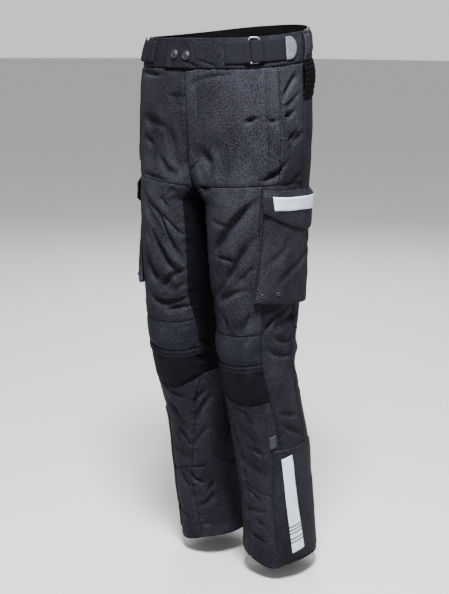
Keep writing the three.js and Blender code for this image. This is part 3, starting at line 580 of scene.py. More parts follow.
def crease_shape(apart):
    """A trough at 0 with a lip beside it, flat again from 1."""
    return np.cos(0.72 * np.pi * apart) * (1 - apart**2) ** 2


def crease_out(side, angle, height):
    """Finer creases, with lips thrown up on both sides and one flank steeper than the other."""
    out = np.zeros(np.broadcast(side, angle, height).shape)
    for number, (crease_side, places, width, depth) in enumerate(CREASES):
        line = curve_through(places)
        middle = line[CURVE_STEPS // 2]
        dx = (wrap(angle - places[0][0]) + places[0][0]) * FOLD_DEGREE
        reach = 0.7 * np.ptp(line, axis=0).sum() + width
        near = (np.hypot(dx - middle[0], height - middle[1]) < reach) & (side == crease_side)
        if not near.any():
            continue
        x, z = dx[near], height[near]
        gap = np.hypot(x[:, None] - line[:, 0], z[:, None] - line[:, 1])
        nearest = gap.argmin(axis=1)
        t = nearest / (CURVE_STEPS - 1)
        tangent = np.gradient(line, axis=0)[nearest]
        turned = tangent[:, 0] * (z - line[nearest, 1]) - tangent[:, 1] * (x - line[nearest, 0])
        steep, gentle = FLANKS if number % 2 else FLANKS[::-1]
        flank = np.where(turned > 0, steep, gentle)
        uneven = 1 + 0.25 * np.sin(5 * t + number)
        apart = np.minimum(gap.min(axis=1) / (width * 0.5 * flank * uneven), 1)
        taper = smooth(t, -0.05, 0.35) * smooth(1 - t, -0.05, 0.35)
        out[near] -= CREASE_LIFT * depth * taper * uneven * crease_shape(apart)
    return out


def limp_out(side, angle, height):
    """Soft unevenness all over the cloth."""
    across = angle * FOLD_DEGREE + 400 * side
    return 1.1 * rumple(across, height, 46) + 0.5 * rumple(across + 77, height, 19)


def lay(side, angle, height, out=0.0):
    """Points on the cloth and its normals there, out millimetres above the panels."""
    side, angle, height = np.broadcast_arrays(side, angle * 1.0, height * 1.0)
    normal = form_normal(side, angle, height)
    behind = smooth(-angle, 190, 218)
    limp = (1 - behind) * limp_out(side, angle, height) + behind * limp_out(side, angle + 360, height)
    from_middle = np.where(height > CROTCH, np.abs(np.abs(wrap(angle)) - 90), 90)
    limp = limp * smooth(from_middle, 0, 9)
    lift = out + fold_out(side, angle, height) + crease_out(side, angle, height) + limp
    return form_point(side, angle, height) + normal * lift[..., None], normal


def steps_along(points, axis):
    """The distance of each point from the first, along one way of a grid."""
    lengths = np.linalg.norm(np.diff(points, axis=axis), axis=-1)
    start = np.zeros_like(lengths.take([0], axis=axis))
    return np.concatenate([start, np.cumsum(lengths, axis=axis)], axis=axis)


def edge_gaps(points):
    """How far each point of a grid is from the grid's start, end, top and bottom."""
    across, down = steps_along(points, 1), steps_along(points, 0)
    return across, across[:, -1:] - across, down, down[-1:] - down


def new_piece(name, verts, faces, look):
    """A smooth piece that rides the trousers, from points in millimetres."""
    finish, slot = look
    mesh = bpy.data.meshes.new(name)
    mesh.from_pydata((verts * MM).tolist(), [], faces.tolist())
    mesh.polygons.foreach_set("use_smooth", np.ones(len(faces), bool))
    mesh.update()
    mesh.materials.append(finish)
    piece = bpy.data.objects.new(name, mesh)
    bpy.context.collection.objects.link(piece)
    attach(piece, "root")
    return piece


def cloth_piece(name, points, normals, thick, look, node=None):
    """A closed piece of cloth from a grid of points on its outside, rows down and columns across."""
    rows, columns = points.shape[:2]
    thick = np.broadcast_to(thick, (rows, columns))
    inner = points - normals * thick[..., None]
    verts = np.concatenate([points.reshape(-1, 3), inner.reshape(-1, 3)])
    index = np.arange(rows * columns).reshape(rows, columns)
    a, b, c, d = index[:-1, :-1], index[1:, :-1], index[1:, 1:], index[:-1, 1:]
    outside = np.stack([a, b, c, d], -1).reshape(-1, 4)
    loop = np.concatenate([index[0, :-1], index[:-1, -1], index[-1, :0:-1], index[:0:-1, 0]])
    after = np.roll(loop, -1)
    rim = np.stack([loop, after, after + rows * columns, loop + rows * columns], -1)
    faces = np.concatenate([outside, outside[:, ::-1] + rows * columns, rim])
    first, second = points[0, 1] - points[0, 0], points[1, 0] - points[0, 0]
    if np.dot(np.cross(second, first), normals[0, 0]) < 0:
        faces = faces[:, ::-1]
    piece = new_piece(name, verts, faces, look)
    # The inner faces take the near-black finish, painted shade for the inside.
    piece.data.materials.append(dark_inside.material)
    within = np.zeros(len(faces), int)
    within[len(outside) : 2 * len(outside)] = 1
    piece.data.polygons.foreach_set("material_index", within)
    across, down = steps_along(points, 1), steps_along(points, 0)
    middle = columns // 2
    u = across - across[:, middle : middle + 1]
    v = np.repeat(down[:, middle : middle + 1], columns, axis=1)
    flat = np.stack([u, -v], -1).reshape(-1, 2) * MM
    layer = piece.data.uv_layers.new(name="cloth")
    layer.data.foreach_set("uv", np.concatenate([flat, flat])[faces.reshape(-1)].reshape(-1))
    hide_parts(node or name.rsplit("_", 1)[0])


# Sewing. Each stitch is a short rounded bar of thread that lies on the cloth, in rows beside the
# seams. All the stitches of one group of pieces are one mesh.
THREAD = {"scale": 900, "detail": 3.0, "relief": 0.1, "roughness": 0.6, "gloss": 0.08}
BLACK = (shade(0.0015, 0.0015, 0.0020), shade(0.0090, 0.0090, 0.0120))
GREY = (shade(0.010, 0.0105, 0.013), shade(0.034, 0.035, 0.042))
BLACK_THREAD = fine_grained("black_thread", *BLACK, **THREAD)
GREY_THREAD = fine_grained("grey_thread", *GREY, **THREAD)
STITCH = {"long": 3.6, "pitch": 4.9, "wide": 0.9, "tall": 0.8, "lift": 0.15, "look": 0.6}
rows_of_stitches = []


def read_along(marks, values, at):
    return np.stack([np.interp(at, marks, values[:, i]) for i in range(3)], -1)


def unit(ways):
    return ways / np.linalg.norm(ways, axis=1, keepdims=True)


def sew(points, normals):
    """A row of stitches along a line of points."""
    marks = np.concatenate([[0], np.cumsum(np.linalg.norm(np.diff(points, axis=0), axis=1))])
    if marks[-1] < STITCH["pitch"]:
        return
    at = np.arange(STITCH["pitch"] / 2, marks[-1], STITCH["pitch"])
    up = read_along(marks, normals, at)
    ahead = read_along(marks, points, at + STITCH["look"])
    behind = read_along(marks, points, at - STITCH["look"])
    rows_of_stitches.append((read_along(marks, points, at) + up * STITCH["lift"], ahead - behind, up))


def sew_edge(points, normals, edge, inset):
    """Stitches inset from one edge of a grid of points: start, end, top or bottom."""
    turned = edge in ("top", "bottom")
    rows = points.transpose(1, 0, 2) if turned else points
    ups = normals.transpose(1, 0, 2) if turned else normals
    if edge in ("end", "bottom"):
        rows, ups = rows[:, ::-1], ups[:, ::-1]
    gap = steps_along(rows, 1)
    line = np.array([read_along(gap[i], rows[i], inset) for i in range(len(rows))])
    line_up = np.array([read_along(gap[i], ups[i], inset) for i in range(len(rows))])
    sew(line, line_up)


def sew_edges(points, normals, edges):
    """Rows of stitches at one or more distances inside some edges of a grid of points."""
    for edge, insets in edges.items():
        for inset in insets:
            sew_edge(points, normals, edge, inset)


def all_round(*insets):
    return dict.fromkeys(("start", "end", "top", "bottom"), insets)


bpy.ops.mesh.primitive_ico_sphere_add(subdivisions=1, radius=1)
stitch_bar = bpy.context.object
stitch_bar.select_set(False)


def finish_stitches(name, finish=BLACK_THREAD):
    """Makes one mesh of the rows sewn since the last call."""
    bar = stitch_bar.data
    size = (STITCH["long"] / 2, STITCH["wide"] / 2, STITCH["tall"] / 2)
    shape = np.array([v.co for v in bar.vertices]) * size
    faces = np.array([list(p.vertices) for p in bar.polygons])
    place, way, up = (np.concatenate(column) for column in zip(*rows_of_stitches))
    way = unit(way)
    beside = unit(np.cross(up, way))
    axes = np.stack([way, beside, np.cross(way, beside)], axis=1)
    verts = place[:, None, :] + np.einsum("vk,nkj->nvj", shape, axes)
    many = faces[None] + np.arange(len(place))[:, None, None] * len(shape)
    new_piece(name, verts.reshape(-1, 3), many.reshape(-1, 3), (finish, "cloth"))
    rows_of_stitches.clear()


# Panels: the pieces that each half of the trousers is cut and sewn from. The cloth pulls in at
# each seam and puckers beside it, and twin rows of stitches run along most seams. The lower
# inside of the leg is the main cloth, and the solid has one panel for both parts.
CELL = 3.2
SHELL = 2
SEAM_DIP = 1.3
HEM = {"tall": 22, "out": 0.9}
KNEE_STRIP = {"tall": 13.5, "out": 1.3, "rows": (2.8, 11.0)}
KNEE_PAD = 2.4
TWIN = (2.4, 7.4)


def share_grid(rows, columns):
    """Shares from 0 to 1 across and down a grid."""
    v, u = np.meshgrid(np.linspace(0, 1, rows + 1), np.linspace(0, 1, columns + 1), indexing="ij")
    return u, v


def seam(name):
    return lambda height: along(*SEAMS[name], height)


def front_middle(height):
    return -centre_angle(height)


def back_of_leg(height):
    return np.minimum(centre_angle(height), along(*SEAMS["back_inner"], height))


def inner_from_behind(height):
    return along(*SEAMS["back_inner"], height) - 360


slash, outseam, front_outer = seam("slash"), seam("outseam"), seam("front_outer")
front_inner, back_inner = seam("front_inner"), seam("back_inner")
# rows gives the distances of the rows of stitches inside each edge
PANELS = [
    {"name": "front_upper", "from": "band_bottom", "to": "thigh", "sides": (front_middle, slash),
     "cut": (0.20, 0.23), "area": 0.040, "rows": {"bottom": TWIN}, "on": "waistband_front_left"},
    {"name": "side_upper", "from": "band_bottom", "to": "thigh", "sides": (slash, outseam),
     "cut": (0.07, 0.22), "area": 0.012, "rows": {"bottom": TWIN}, "on": "waistband_front_left"},
    {"name": "back_upper", "from": "yoke", "to": "knee_top", "sides": (outseam, back_of_leg),
     "cut": (0.24, 0.455), "area": 0.088, "rows": {"top": TWIN, "start": TWIN}, "on": "back_yoke"},
    {"name": "front_thigh", "from": "thigh", "to": "knee_top", "sides": (front_inner, front_outer),
     "cut": (0.17, 0.30), "area": 0.040, "rows": {"top": TWIN, "bottom": TWIN}, "on": "front_upper_left"},
    {"name": "side_leg", "from": "thigh", "to": "hem", "sides": (front_outer, outseam),
     "cut": (0.11, 0.82), "area": 0.066, "rows": {"start": TWIN, "end": TWIN}, "on": "side_upper_left"},
    {"name": "inner_leg", "from": "thigh", "to": "knee_bottom", "sides": (front_inner, inner_from_behind),
     "cut": (0.19, 0.41), "area": 0.053, "rows": {"start": (2.4,)}, "on": "front_upper_left",
     "kind": "stretch"},
    {"name": "inner_calf", "from": "knee_bottom", "to": "hem", "sides": (front_inner, inner_from_behind),
     "cut": (0.20, 0.41), "area": 0.0585, "rows": {"start": (2.4,), "top": TWIN}, "on": "inner_leg_left",
     "node": "inner_leg"},
    {"name": "knee_upper", "from": "knee_top", "to": "knee_middle", "sides": (front_inner, front_outer),
     "cut": (0.15, 0.07), "area": 0.0090, "rows": {"top": TWIN}, "on": "front_thigh_left", "kind": "knee"},
    {"name": "knee_lower", "from": "knee_middle", "to": "knee_bottom", "sides": (front_inner, front_outer),
     "cut": (0.15, 0.10), "area": 0.0118, "rows": {"bottom": TWIN}, "on": "knee_upper_left", "kind": "guard"},
    {"name": "shin_upper", "from": "knee_bottom", "to": "shin", "sides": (front_inner, front_outer),
     "cut": (0.14, 0.23), "area": 0.021, "rows": {"top": TWIN, "bottom": (2.4,)}, "on": "knee_lower_left"},
    {"name": "shin_lower", "from": "shin", "to": "hem", "sides": (front_inner, front_outer),
     "cut": (0.09, 0.18), "area": 0.0137, "rows": {"top": TWIN, "bottom": (19.0,)}, "on": "shin_upper_left"},
    {"name": "back_calf", "from": "knee_top", "to": "hem", "sides": (outseam, back_inner),
     "cut": (0.18, 0.54), "area": 0.084, "rows": {"top": TWIN, "start": TWIN}, "on": "back_upper_left"},
]
LEVEL_NAMES = list(LEVELS)


def panel_heights(panel, share, angle):
    """The height a share of the way down a panel, between the lines across it."""
    names = LEVEL_NAMES[LEVEL_NAMES.index(panel["from"]) : LEVEL_NAMES.index(panel["to"]) + 1]
    lines = np.stack([level_height(name, angle) for name in names])
    marks = np.array([float(level_height(name, np.array(0.0))) for name in names])
    marks = (marks[0] - marks) / (marks[0] - marks[-1])
    row = np.clip(np.searchsorted(marks, share, side="right") - 1, 0, len(names) - 2)
    t = (share - marks[row]) / (marks[row + 1] - marks[row])
    above = np.take_along_axis(lines, row[None], 0)[0]
    return above + (np.take_along_axis(lines, row[None] + 1, 0)[0] - above) * t


def panel_places(panel, rows, columns):
    """The angle and height of each point of a panel's grid."""
    start, end = panel["sides"]
    u, v = share_grid(rows, columns)
    middle_height = np.array(-400.0)
    way = np.sign(end(middle_height) - start(middle_height))
    angle = np.zeros_like(v)
    height = panel_heights(panel, v, angle)
    for _ in range(6):
        inset = way * SEAM_GAP / 2 / degree_length(angle, height)
        first = start(height) + (0 if start is front_middle else inset)
        last = end(height)
        at_middle = (last == centre_angle(height)) if end is back_of_leg else False
        last = last - np.where(at_middle, 0, inset)
        angle = between(first, last, u)
        height = panel_heights(panel, v, angle)
    height[0] -= SEAM_GAP / 2
    if panel["to"] != "hem":
        height[-1] += SEAM_GAP / 2
    return angle, height


def puckers(side, height, gaps, sewn, strong):
    """Small waves in the cloth, strongest beside a seam and gone a few centimetres from it."""
    beside, along_top = np.minimum(gaps[0], gaps[1]), np.minimum.reduce(sewn[2:])
    ruck = rumple(beside / 3.5 + side * 31, height, 7.5) + 0.5 * rumple(beside / 2, height + 90, 17)
    gather = rumple(gaps[0] + side * 50, along_top / 3.5, 8) + 0.5 * rumple(gaps[0], along_top / 2, 19)
    fade_down, fade_across = np.exp(-((along_top / 12) ** 2)), np.exp(-((beside / 13) ** 2))
    return 0.6 * gather * fade_down + 0.7 * strong * ruck * fade_across


def step_in(gap, tall, spread):
    """1 within a strip of cloth along an edge and 0 past it."""
    return 1 - smooth(gap, tall - spread, tall + 1.5)


def add_panel(panel, side, side_name):
    """One panel of one side, on a grid of cells about CELL wide."""
    angle, height = panel_places(panel, 8, 8)
    gaps = edge_gaps(form_point(side, angle, height))
    columns = int(max(gaps[0][:, -1]) / CELL) + 1
    rows = int(max(gaps[2][-1]) / CELL) + 1
    angle, height = panel_places(panel, rows, columns)
    gaps = edge_gaps(form_point(side, angle, height))
    kind = panel.get("kind", "main")
    sewn = gaps if panel["to"] != "hem" else gaps[:3]
    edge = np.minimum.reduce(sewn)
    by_inseam = (gaps[0] < gaps[1]) * (panel["sides"][0] is front_inner)
    strong = 1 + 1.4 * smooth(-height, 250, 330) * by_inseam
    out = puckers(side, height, gaps, sewn, strong) - SEAM_DIP * np.exp(-((edge / 3.0) ** 2))
    if panel["to"] == "hem":
        out = out + HEM["out"] * step_in(gaps[3], HEM["tall"], 1.5)
    if kind in ("knee", "guard"):
        out = out + KNEE_PAD * smooth(edge, 2, 22)
    if kind == "guard":
        out = out + KNEE_STRIP["out"] * step_in(gaps[2], KNEE_STRIP["tall"], 1)
    points, normals = lay(side, angle, height, out)
    node = f"{panel.get('node', panel['name'])}_{side_name}"
    name = f"{panel['name']}_{side_name}_cloth"
    look = PANEL_LOOKS[kind]
    cloth_piece(name, points, normals, SHELL, look, node)
    sew_edges(points, normals, panel["rows"])
    return points, normals


SIDES = (("left", 1), ("right", -1))
for side_name, side in SIDES:
    for panel in PANELS:
        grid = add_panel(panel, side, side_name)
        if panel.get("kind") == "guard":
            guard = grid
    finish_stitches(f"panel_stitches_{side_name}")
    sew_edges(*guard, {"top": KNEE_STRIP["rows"]})
    finish_stitches(f"knee_stitches_{side_name}", GREY_THREAD)

# Back yoke: one piece of stretch cloth across the back, sewn into accordion ribs that open when
# the wearer bends, with the cloth gathered fine between them.
RIBS = {"count": 7, "deep": 0.9, "swell": 5.0, "thick": 1.6, "fine": 6.2, "fine_deep": 1.3, "sink": 0.6}
u, v = share_grid(119, 169)
yoke_start = float(outseam(np.array(float(BAND_BOTTOM))))
yoke_turn = yoke_start + (180 - 2 * yoke_start) * u
yoke_height = BAND_BOTTOM - SEAM_GAP / 2 + (YOKE_BOTTOM - BAND_BOTTOM + SEAM_GAP) * v
yoke_inset = outseam(yoke_height) - yoke_start
yoke_inset = yoke_inset + SEAM_GAP / 2 / degree_length(np.full_like(u, yoke_start), yoke_height)
yoke_side = np.where(u < 0.5, 1, -1)
yoke_angle = np.where(u < 0.5, yoke_turn, 180 - yoke_turn) + yoke_inset * np.abs(1 - 2 * u)
yoke_angle = np.minimum(yoke_angle, 90)
rib = 0.5 - 0.5 * np.cos(2 * np.pi * RIBS["count"] * v)
across, down = u * 520, v * 64
gather = rumple(across, down, 7) * 0.35 + rumple(across, v * 30, 23) * 0.5
slope = yoke_turn * 1.1 + 1.2 * rumple(across, down, 40)
fine = 0.5 + 0.5 * np.sin(2 * np.pi * (yoke_height + slope) / RIBS["fine"])
yoke_out = RIBS["deep"] * rib + gather * 0.7 + RIBS["fine_deep"] * fine - RIBS["sink"]
yoke_out = yoke_out + RIBS["swell"] * np.sin(np.pi * v**0.8)
yoke_points, yoke_normals = lay(yoke_side, yoke_angle, yoke_height, yoke_out)
cloth_piece(
    "back_yoke_cloth", yoke_points, yoke_normals, RIBS["thick"], STRETCH,
)

# Waistband: two fronts and a back, cut double and stitched near both edges. The left front laps
# over the right one where the snaps are.
BAND = {"thick": 3.4, "out": 0.8, "roll": 2.6, "degree": 1.9, "cell": 3}
LAP = {"end": -14, "flat_from": 1.5, "flat_to": 8, "out": 4.6, "thick": 2.9}
BAND_SEAM = 94
BAND_GAP = 0.06


def band_place(turn):
    """The side and angle of a turn round the waist from the middle of the front, left above 0."""
    turn = wrap(turn)
    return np.where(turn < 0, -1, 1), np.abs(turn) - 90


def rolled(gaps, reach, drop):
    """How far an edge rounds down over its last reach millimetres."""
    edge = np.clip(1 - np.minimum.reduce(gaps) / reach, 0, 1)
    return drop * (1 - np.sqrt(1 - 0.98 * edge**2))


def roll_off(side, angle, height, reach, drop):
    """How far a piece that lies on the cloth rounds down at its edges."""
    return rolled(edge_gaps(form_point(side, angle, height)), reach, drop)


def add_band(name, start, end):
    columns = int(abs(end - start) * BAND["degree"] / BAND["cell"])
    u, v = share_grid(25, columns - 1)
    turn = between(start, end, u)
    side, angle = band_place(turn)
    height = between(BAND_TOP, BAND_BOTTOM + SEAM_GAP / 2, v)
    lapped = 1 - smooth(turn, LAP["flat_from"], LAP["flat_to"]) if name.endswith("front_left") else 0 * turn
    thick = between(BAND["thick"], LAP["thick"], lapped)
    gaps = edge_gaps(form_point(side, angle, height))
    around = turn * BAND["degree"]
    ripple = 0.5 * rumple(around, height, 11) + 0.4 * rumple(around, height, 24)
    out = between(BAND["out"], LAP["out"], lapped) + ripple * smooth(np.minimum.reduce(gaps), 0, 6)
    points, normals = lay(side, angle, height, out - rolled(gaps, BAND["roll"], 1.2))
    cloth_piece(name + "_cloth", points, normals, thick, SHADED_BAND_LOOK)
    sew_edges(points, normals, {"top": (3.0,), "bottom": (3.2,)})
    return points, normals


band_left = add_band("waistband_front_left", LAP["end"], BAND_SEAM - BAND_GAP)
sew_edge(*band_left, "start", 3.0)
add_band("waistband_front_right", -BAND_GAP, BAND_GAP - BAND_SEAM)
add_band("waistband_back", BAND_SEAM + BAND_GAP, 360 - BAND_SEAM - BAND_GAP)


def add_trim(name, side, angle, height, out, thick, look, sewn=None):
    """A piece that lies on the cloth, with rows of stitches inside some of its edges."""
    points, normals = lay(side, angle, height, out)
    cloth_piece(name, points, normals, thick, look)
    sew_edges(points, normals, sewn or {})
    return points, normals


# Fly and slash pockets: a J-shaped placket on the left front, and a welt along each pocket's
# edge, each held by rows of stitches.
STAND_OFF = 0.7
FLAP_CLOTH = 1.6
FLY = {
    "inner": 2, "wide": 27, "top": -30, "curve_from": -160, "bottom": -206, "corner": 6, "out": 0.8,
    "cloth": 0.7,
}
WELT = {"front": -34.5, "back": -22.8, "top": -31, "bottom": -207, "cloth": 0.9}

u, v = share_grid(58, 12)
fly_height = between(FLY["top"], FLY["bottom"], v)
fly_curve = np.clip((FLY["curve_from"] - fly_height) / (FLY["curve_from"] - FLY["bottom"]), 0, 1)
fly_wide = between(FLY["corner"], FLY["wide"], np.sqrt(1 - fly_curve**2))
fly_middle, fly_half, _ = ring_at(fly_height)
fly_share = (between(FLY["inner"], fly_wide, u) - fly_middle) / fly_half
fly_angle = -np.degrees(np.arccos(np.sign(fly_share) * np.abs(fly_share) ** (SQUARE / 2)))
fly_out = FLY["out"] + FLY["cloth"] - roll_off(1, fly_angle, fly_height, 3.0, 0.6)
add_trim(
    "fly_placket_cloth", 1, fly_angle, fly_height, fly_out, FLY["cloth"], MAIN,
    sewn={"end": (2.4, 5.6)},
)

for side_name, side in SIDES:
    u, v = share_grid(58, 8)
    angle = between(WELT["front"], WELT["back"], u)
    height = between(WELT["top"], WELT["bottom"], v)
    out = STAND_OFF + WELT["cloth"] + 0.3 * rumple(angle * 2, height, 9)
    add_trim(
        f"pocket_welt_{side_name}_cloth", side, angle, height, out - roll_off(side, angle, height, 3.0, 0.7),
        WELT["cloth"], MAIN,
        sewn={"start": (2.2, 6.2), "end": (2.2,)},
    )
finish_stitches("waist_stitches")

# Cargo pockets: a bellows pocket on the outside of each thigh, a pointed flap over its mouth, a
# light strip on the flap, bare, and two drain eyelets near its lower edge.
POCKET = {
    "top": -264, "low": -458, "back": 47, "proud_top": 6.4, "proud_bottom": 12.5, "side_top": 3.4,
    "side_bottom": 11.5, "side_ramp": 16, "deep": 190, "under": 1.0,
}
POCKET_FRONT = ([-262, -330, -390, -430, -456], [-36, -38, -43, -48, -53])
POCKET_BOTTOM = ([-54, -27, 2, 48], [-447, -452, -459, -468])
POCKET_CREASES = [
    ([(44, -350), (12, -384), (-6, -400), (-24, -424)], 26, 4.0),
    ([(2, -322), (-11, -356), (-35, -380)], 26, 3.2),
    ([(40, -444), (8, -444)], 26, 1.6),
    ([(38, -330), (14, -346)], 24, 1.8),
]
FLAP = {"front": -38, "back": 48, "top": -239, "top_back": -250, "ramp": 13}
FLAP_LOWER = ([-38, -20, -1, 16, 34, 48], [-279, -295, -311, -322, -324, -317])
LABEL = {
    "front": -28, "slant": 3, "back": 43, "top_front": -250, "top_back": -262, "tall": 26, "thick": 0.9,
    "clear": 0.28,
}
WALL_ROWS = 3
BEADS = 900


def pocket_share(height):
    return np.clip((POCKET["top"] - height) / POCKET["deep"], 0, 1)


def pocket_proud(height):
    return between(POCKET["proud_top"], POCKET["proud_bottom"], pocket_share(height))


def pocket_out(angle, height):
    """How far the pocket's face stands out, less at its two sides than in the middle."""
    front = along(*POCKET_FRONT, height)
    from_side = np.minimum(angle - front, POCKET["back"] - angle) * degree_length(angle, height)
    at_side = between(POCKET["side_top"], POCKET["side_bottom"], pocket_share(height) ** 2)
    return between(at_side, pocket_proud(height), smooth(from_side, 0, POCKET["side_ramp"]))


def pocket_crease(angle, height):
    out = 0 * angle
    for places, width, depth in POCKET_CREASES:
        line = curve_through(places)
        gap = np.hypot(angle[..., None] * FOLD_DEGREE - line[:, 0], height[..., None] - line[:, 1])
        t = gap.argmin(axis=-1) / (CURVE_STEPS - 1)
        apart = np.minimum(gap.min(axis=-1) / (width * 0.62), 1)
        taper = smooth(t, -0.1, 0.3) * smooth(1 - t, -0.1, 0.3)
        out = out - depth * taper * crease_shape(apart)
    return out


def flap_top(angle):
    share = (angle - FLAP["front"]) / (FLAP["back"] - FLAP["front"])
    return between(FLAP["top"], FLAP["top_back"], share)


def flap_out(angle, height, share):
    """How far the flap stands out, a share of the way down it."""
    ramp = smooth(flap_top(angle) - height, 0, FLAP["ramp"])
    wave = 0.5 * rumple(angle * FOLD_DEGREE, height, 23) * smooth(share, 0.1, 0.6)
    return STAND_OFF + FLAP_CLOTH + pocket_proud(height) * ramp + wave + 0.8 * smooth(share, 0.6, 1.0)


def with_walls(count):
    """Shares from 0 to 1 with a few more at both ends, for walls that turn down from the face."""
    ends = np.zeros(WALL_ROWS)
    return np.concatenate([ends, np.linspace(0, 1, count), ends + 1])


def from_ends(shares):
    """How many places each place in a row is from the nearer end."""
    number = np.arange(shares.size)
    return np.minimum(number, shares.size - 1 - number)


def film(name, bars=()):
    """Glass-bead film, with dark bars across it at a few distances below its top."""
    finish = Finish(name, 0.38, coat=0.2)
    place = finish.on_cloth()
    bead_place = {"Vector": finish.stretched(place, BEADS, BEADS), "Scale": 1.0}
    beads = finish.node("ShaderNodeTexVoronoi", {"feature": "DISTANCE_TO_EDGE"}, bead_place)
    scuff = finish.clip(finish.streaks(place, 60, 40, 6.0), 0.5, 0.85)
    tone = finish.streaks(place, 9, 14, 2.0)
    colour = finish.mix(tone, shade(0.40, 0.44, 0.52), shade(0.56, 0.61, 0.70))
    colour = finish.mix(scuff * 0.3, colour, shade(0.26, 0.28, 0.33))
    down = finish.parts(place)[1]
    for bar in bars:
        away = finish.math("ABSOLUTE", down - bar)
        colour = finish.mix(finish.clip(away, 0.0019, 0.0014), colour, shade(0.003, 0.003, 0.005))
    finish.show("Base Color", colour)
    finish.show("Roughness", 0.34 + scuff * 0.25)
    finish.raise_by(beads + scuff * 0.6, 0.12 * MM)
    return finish.material


LABEL_FILM = (film("label_film"), "reflective_film")

for side_name, side in SIDES:
    u, v = with_walls(36), with_walls(56)
    wall = np.clip(np.minimum(from_ends(v)[:, None], from_ends(u)) / WALL_ROWS, 0, 1)
    v, u = np.meshgrid(v, u, indexing="ij")
    height = between(POCKET["top"], POCKET["low"], v)
    for _ in range(4):
        angle = between(along(*POCKET_FRONT, height), POCKET["back"], u)
        height = between(POCKET["top"], along(*POCKET_BOTTOM, angle), v)
    across = angle * FOLD_DEGREE
    face = pocket_out(angle, height) + pocket_crease(angle, height)
    face = face + 0.6 * rumple(across, height + 9 * side, 21) + 0.35 * rumple(across, height, 9)
    face = np.maximum(face, 3.0) - roll_off(side, angle, height, 4, 1.2) * (wall >= 1)
    out = between(POCKET["under"] + SHELL, face, np.sqrt(wall))
    points, normals = add_trim(
        f"cargo_pocket_{side_name}_cloth", side, angle, height, out, FLAP_CLOTH, MAIN,
    )
    front_face = slice(WALL_ROWS, -WALL_ROWS), slice(WALL_ROWS, -WALL_ROWS)
    pocket_rows = dict.fromkeys(("start", "end", "bottom"), (3.0, 7.0))
    sew_edges(points[front_face], normals[front_face], pocket_rows)

    u, v = share_grid(28, 44)
    angle = between(FLAP["front"], FLAP["back"], u)
    height = between(flap_top(angle), along(*FLAP_LOWER, angle), v)
    out = flap_out(angle, height, v) - roll_off(side, angle, height, 2.6, 0.9)
    add_trim(
        f"cargo_flap_{side_name}_cloth", side, angle, height, out, FLAP_CLOTH, MAIN,
        all_round(2.6, 7.0),
    )

    u, v = share_grid(12, 44)
    angle = between(LABEL["front"] + LABEL["slant"] * v, LABEL["back"], u)
    height = between(LABEL["top_front"], LABEL["top_back"], u) - LABEL["tall"] * v
    flap_share = (flap_top(angle) - height) / (flap_top(angle) - along(*FLAP_LOWER, angle))
    out = flap_out(angle, height, flap_share) + LABEL["clear"] + LABEL["thick"]
    add_trim(
        f"flap_label_{side_name}_film", side, angle, height, out - roll_off(side, angle, height, 1.6, 0.5),
        LABEL["thick"], LABEL_FILM,
    )
finish_stitches("pocket_stitches")

# Storm flaps: a flap over the lower outside of each leg, stitched near its edges. A reflective
# stripe with five dark bars near its lower end lies on it, and a small grey tab is above it.
STORM = {"top": -762, "bottom": -1012, "back": 38, "hem_from": 995, "hem_to": 1006}
STORM_FRONT = ([-762, -872, -1012], [-50, -57, -53])
STRIPE = {
    "top": -782, "rise": 6, "bottom": -998, "front_top": -37, "front_bottom": -29, "wide_top": 20,
    "wide_bottom": 22.6, "film": 0.6, "clear": 0.25,
}
BARS = [-0.158, -0.166, -0.174, -0.187, -0.195]
TAB = {"front": -52.5, "wide": 12, "top": -733, "bottom": -760, "rise": 6.5, "slant": -1.5, "thick": 1.8}
STRIPE_FILM = (film("barred_film", BARS), "reflective_film")
RUBBER = (
    fine_grained(
        "grey_rubber", shade(0.045, 0.048, 0.057), shade(0.078, 0.083, 0.096), 1400, 3.0, 0.12, 0.42, 0.25,
        worn=shade(0.16, 0.17, 0.185), gloss=0.15,
    ),
    "grey_rubber",
)
TAB_RUBBER = (
    fine_grained(
        "tab_rubber", shade(0.012, 0.013, 0.016), shade(0.034, 0.036, 0.042), 1200, 3.0, 0.15, 0.6, gloss=0.2
    ),
    "grey_rubber",
)


def storm_out(height):
    """How far the storm flap stands out, a little more over the hem."""
    return STAND_OFF + FLAP_CLOTH + HEM["out"] * smooth(-height, STORM["hem_from"], STORM["hem_to"])


for side_name, side in SIDES:
    u, v = share_grid(76, 34)
    height = between(STORM["top"], STORM["bottom"], v)
    angle = between(along(*STORM_FRONT, height), STORM["back"], u)
    out = storm_out(height) - roll_off(side, angle, height, 2.6, 0.9)
    add_trim(
        f"storm_flap_{side_name}_cloth", side, angle, height, out, FLAP_CLOTH, MAIN,
        sewn=all_round(2.4, 7.0),
    )

    u, v = share_grid(80, 10)
    height = between(STRIPE["top"], STRIPE["bottom"], v) + STRIPE["rise"] * u
    wide = between(STRIPE["wide_top"], STRIPE["wide_bottom"], v)
    angle = between(STRIPE["front_top"], STRIPE["front_bottom"], v) + wide * u
    out = storm_out(height) + STRIPE["clear"] + STRIPE["film"] - roll_off(side, angle, height, 1.2, 0.35)
    add_trim(
        f"reflective_stripe_{side_name}_film", side, angle, height, out, STRIPE["film"], STRIPE_FILM,
    )

    u, v = share_grid(10, 8)
    angle = TAB["front"] + TAB["wide"] * u + TAB["slant"] * v
    height = between(TAB["top"], TAB["bottom"], v) + TAB["rise"] * u
    out = STAND_OFF + TAB["thick"] - roll_off(side, angle, height, 3, 0.9)
    add_trim(
        f"side_tab_{side_name}_rubber", side, angle, height, out, TAB["thick"], TAB_RUBBER,
        sewn=all_round(3.0),
    )
finish_stitches("flap_stitches")

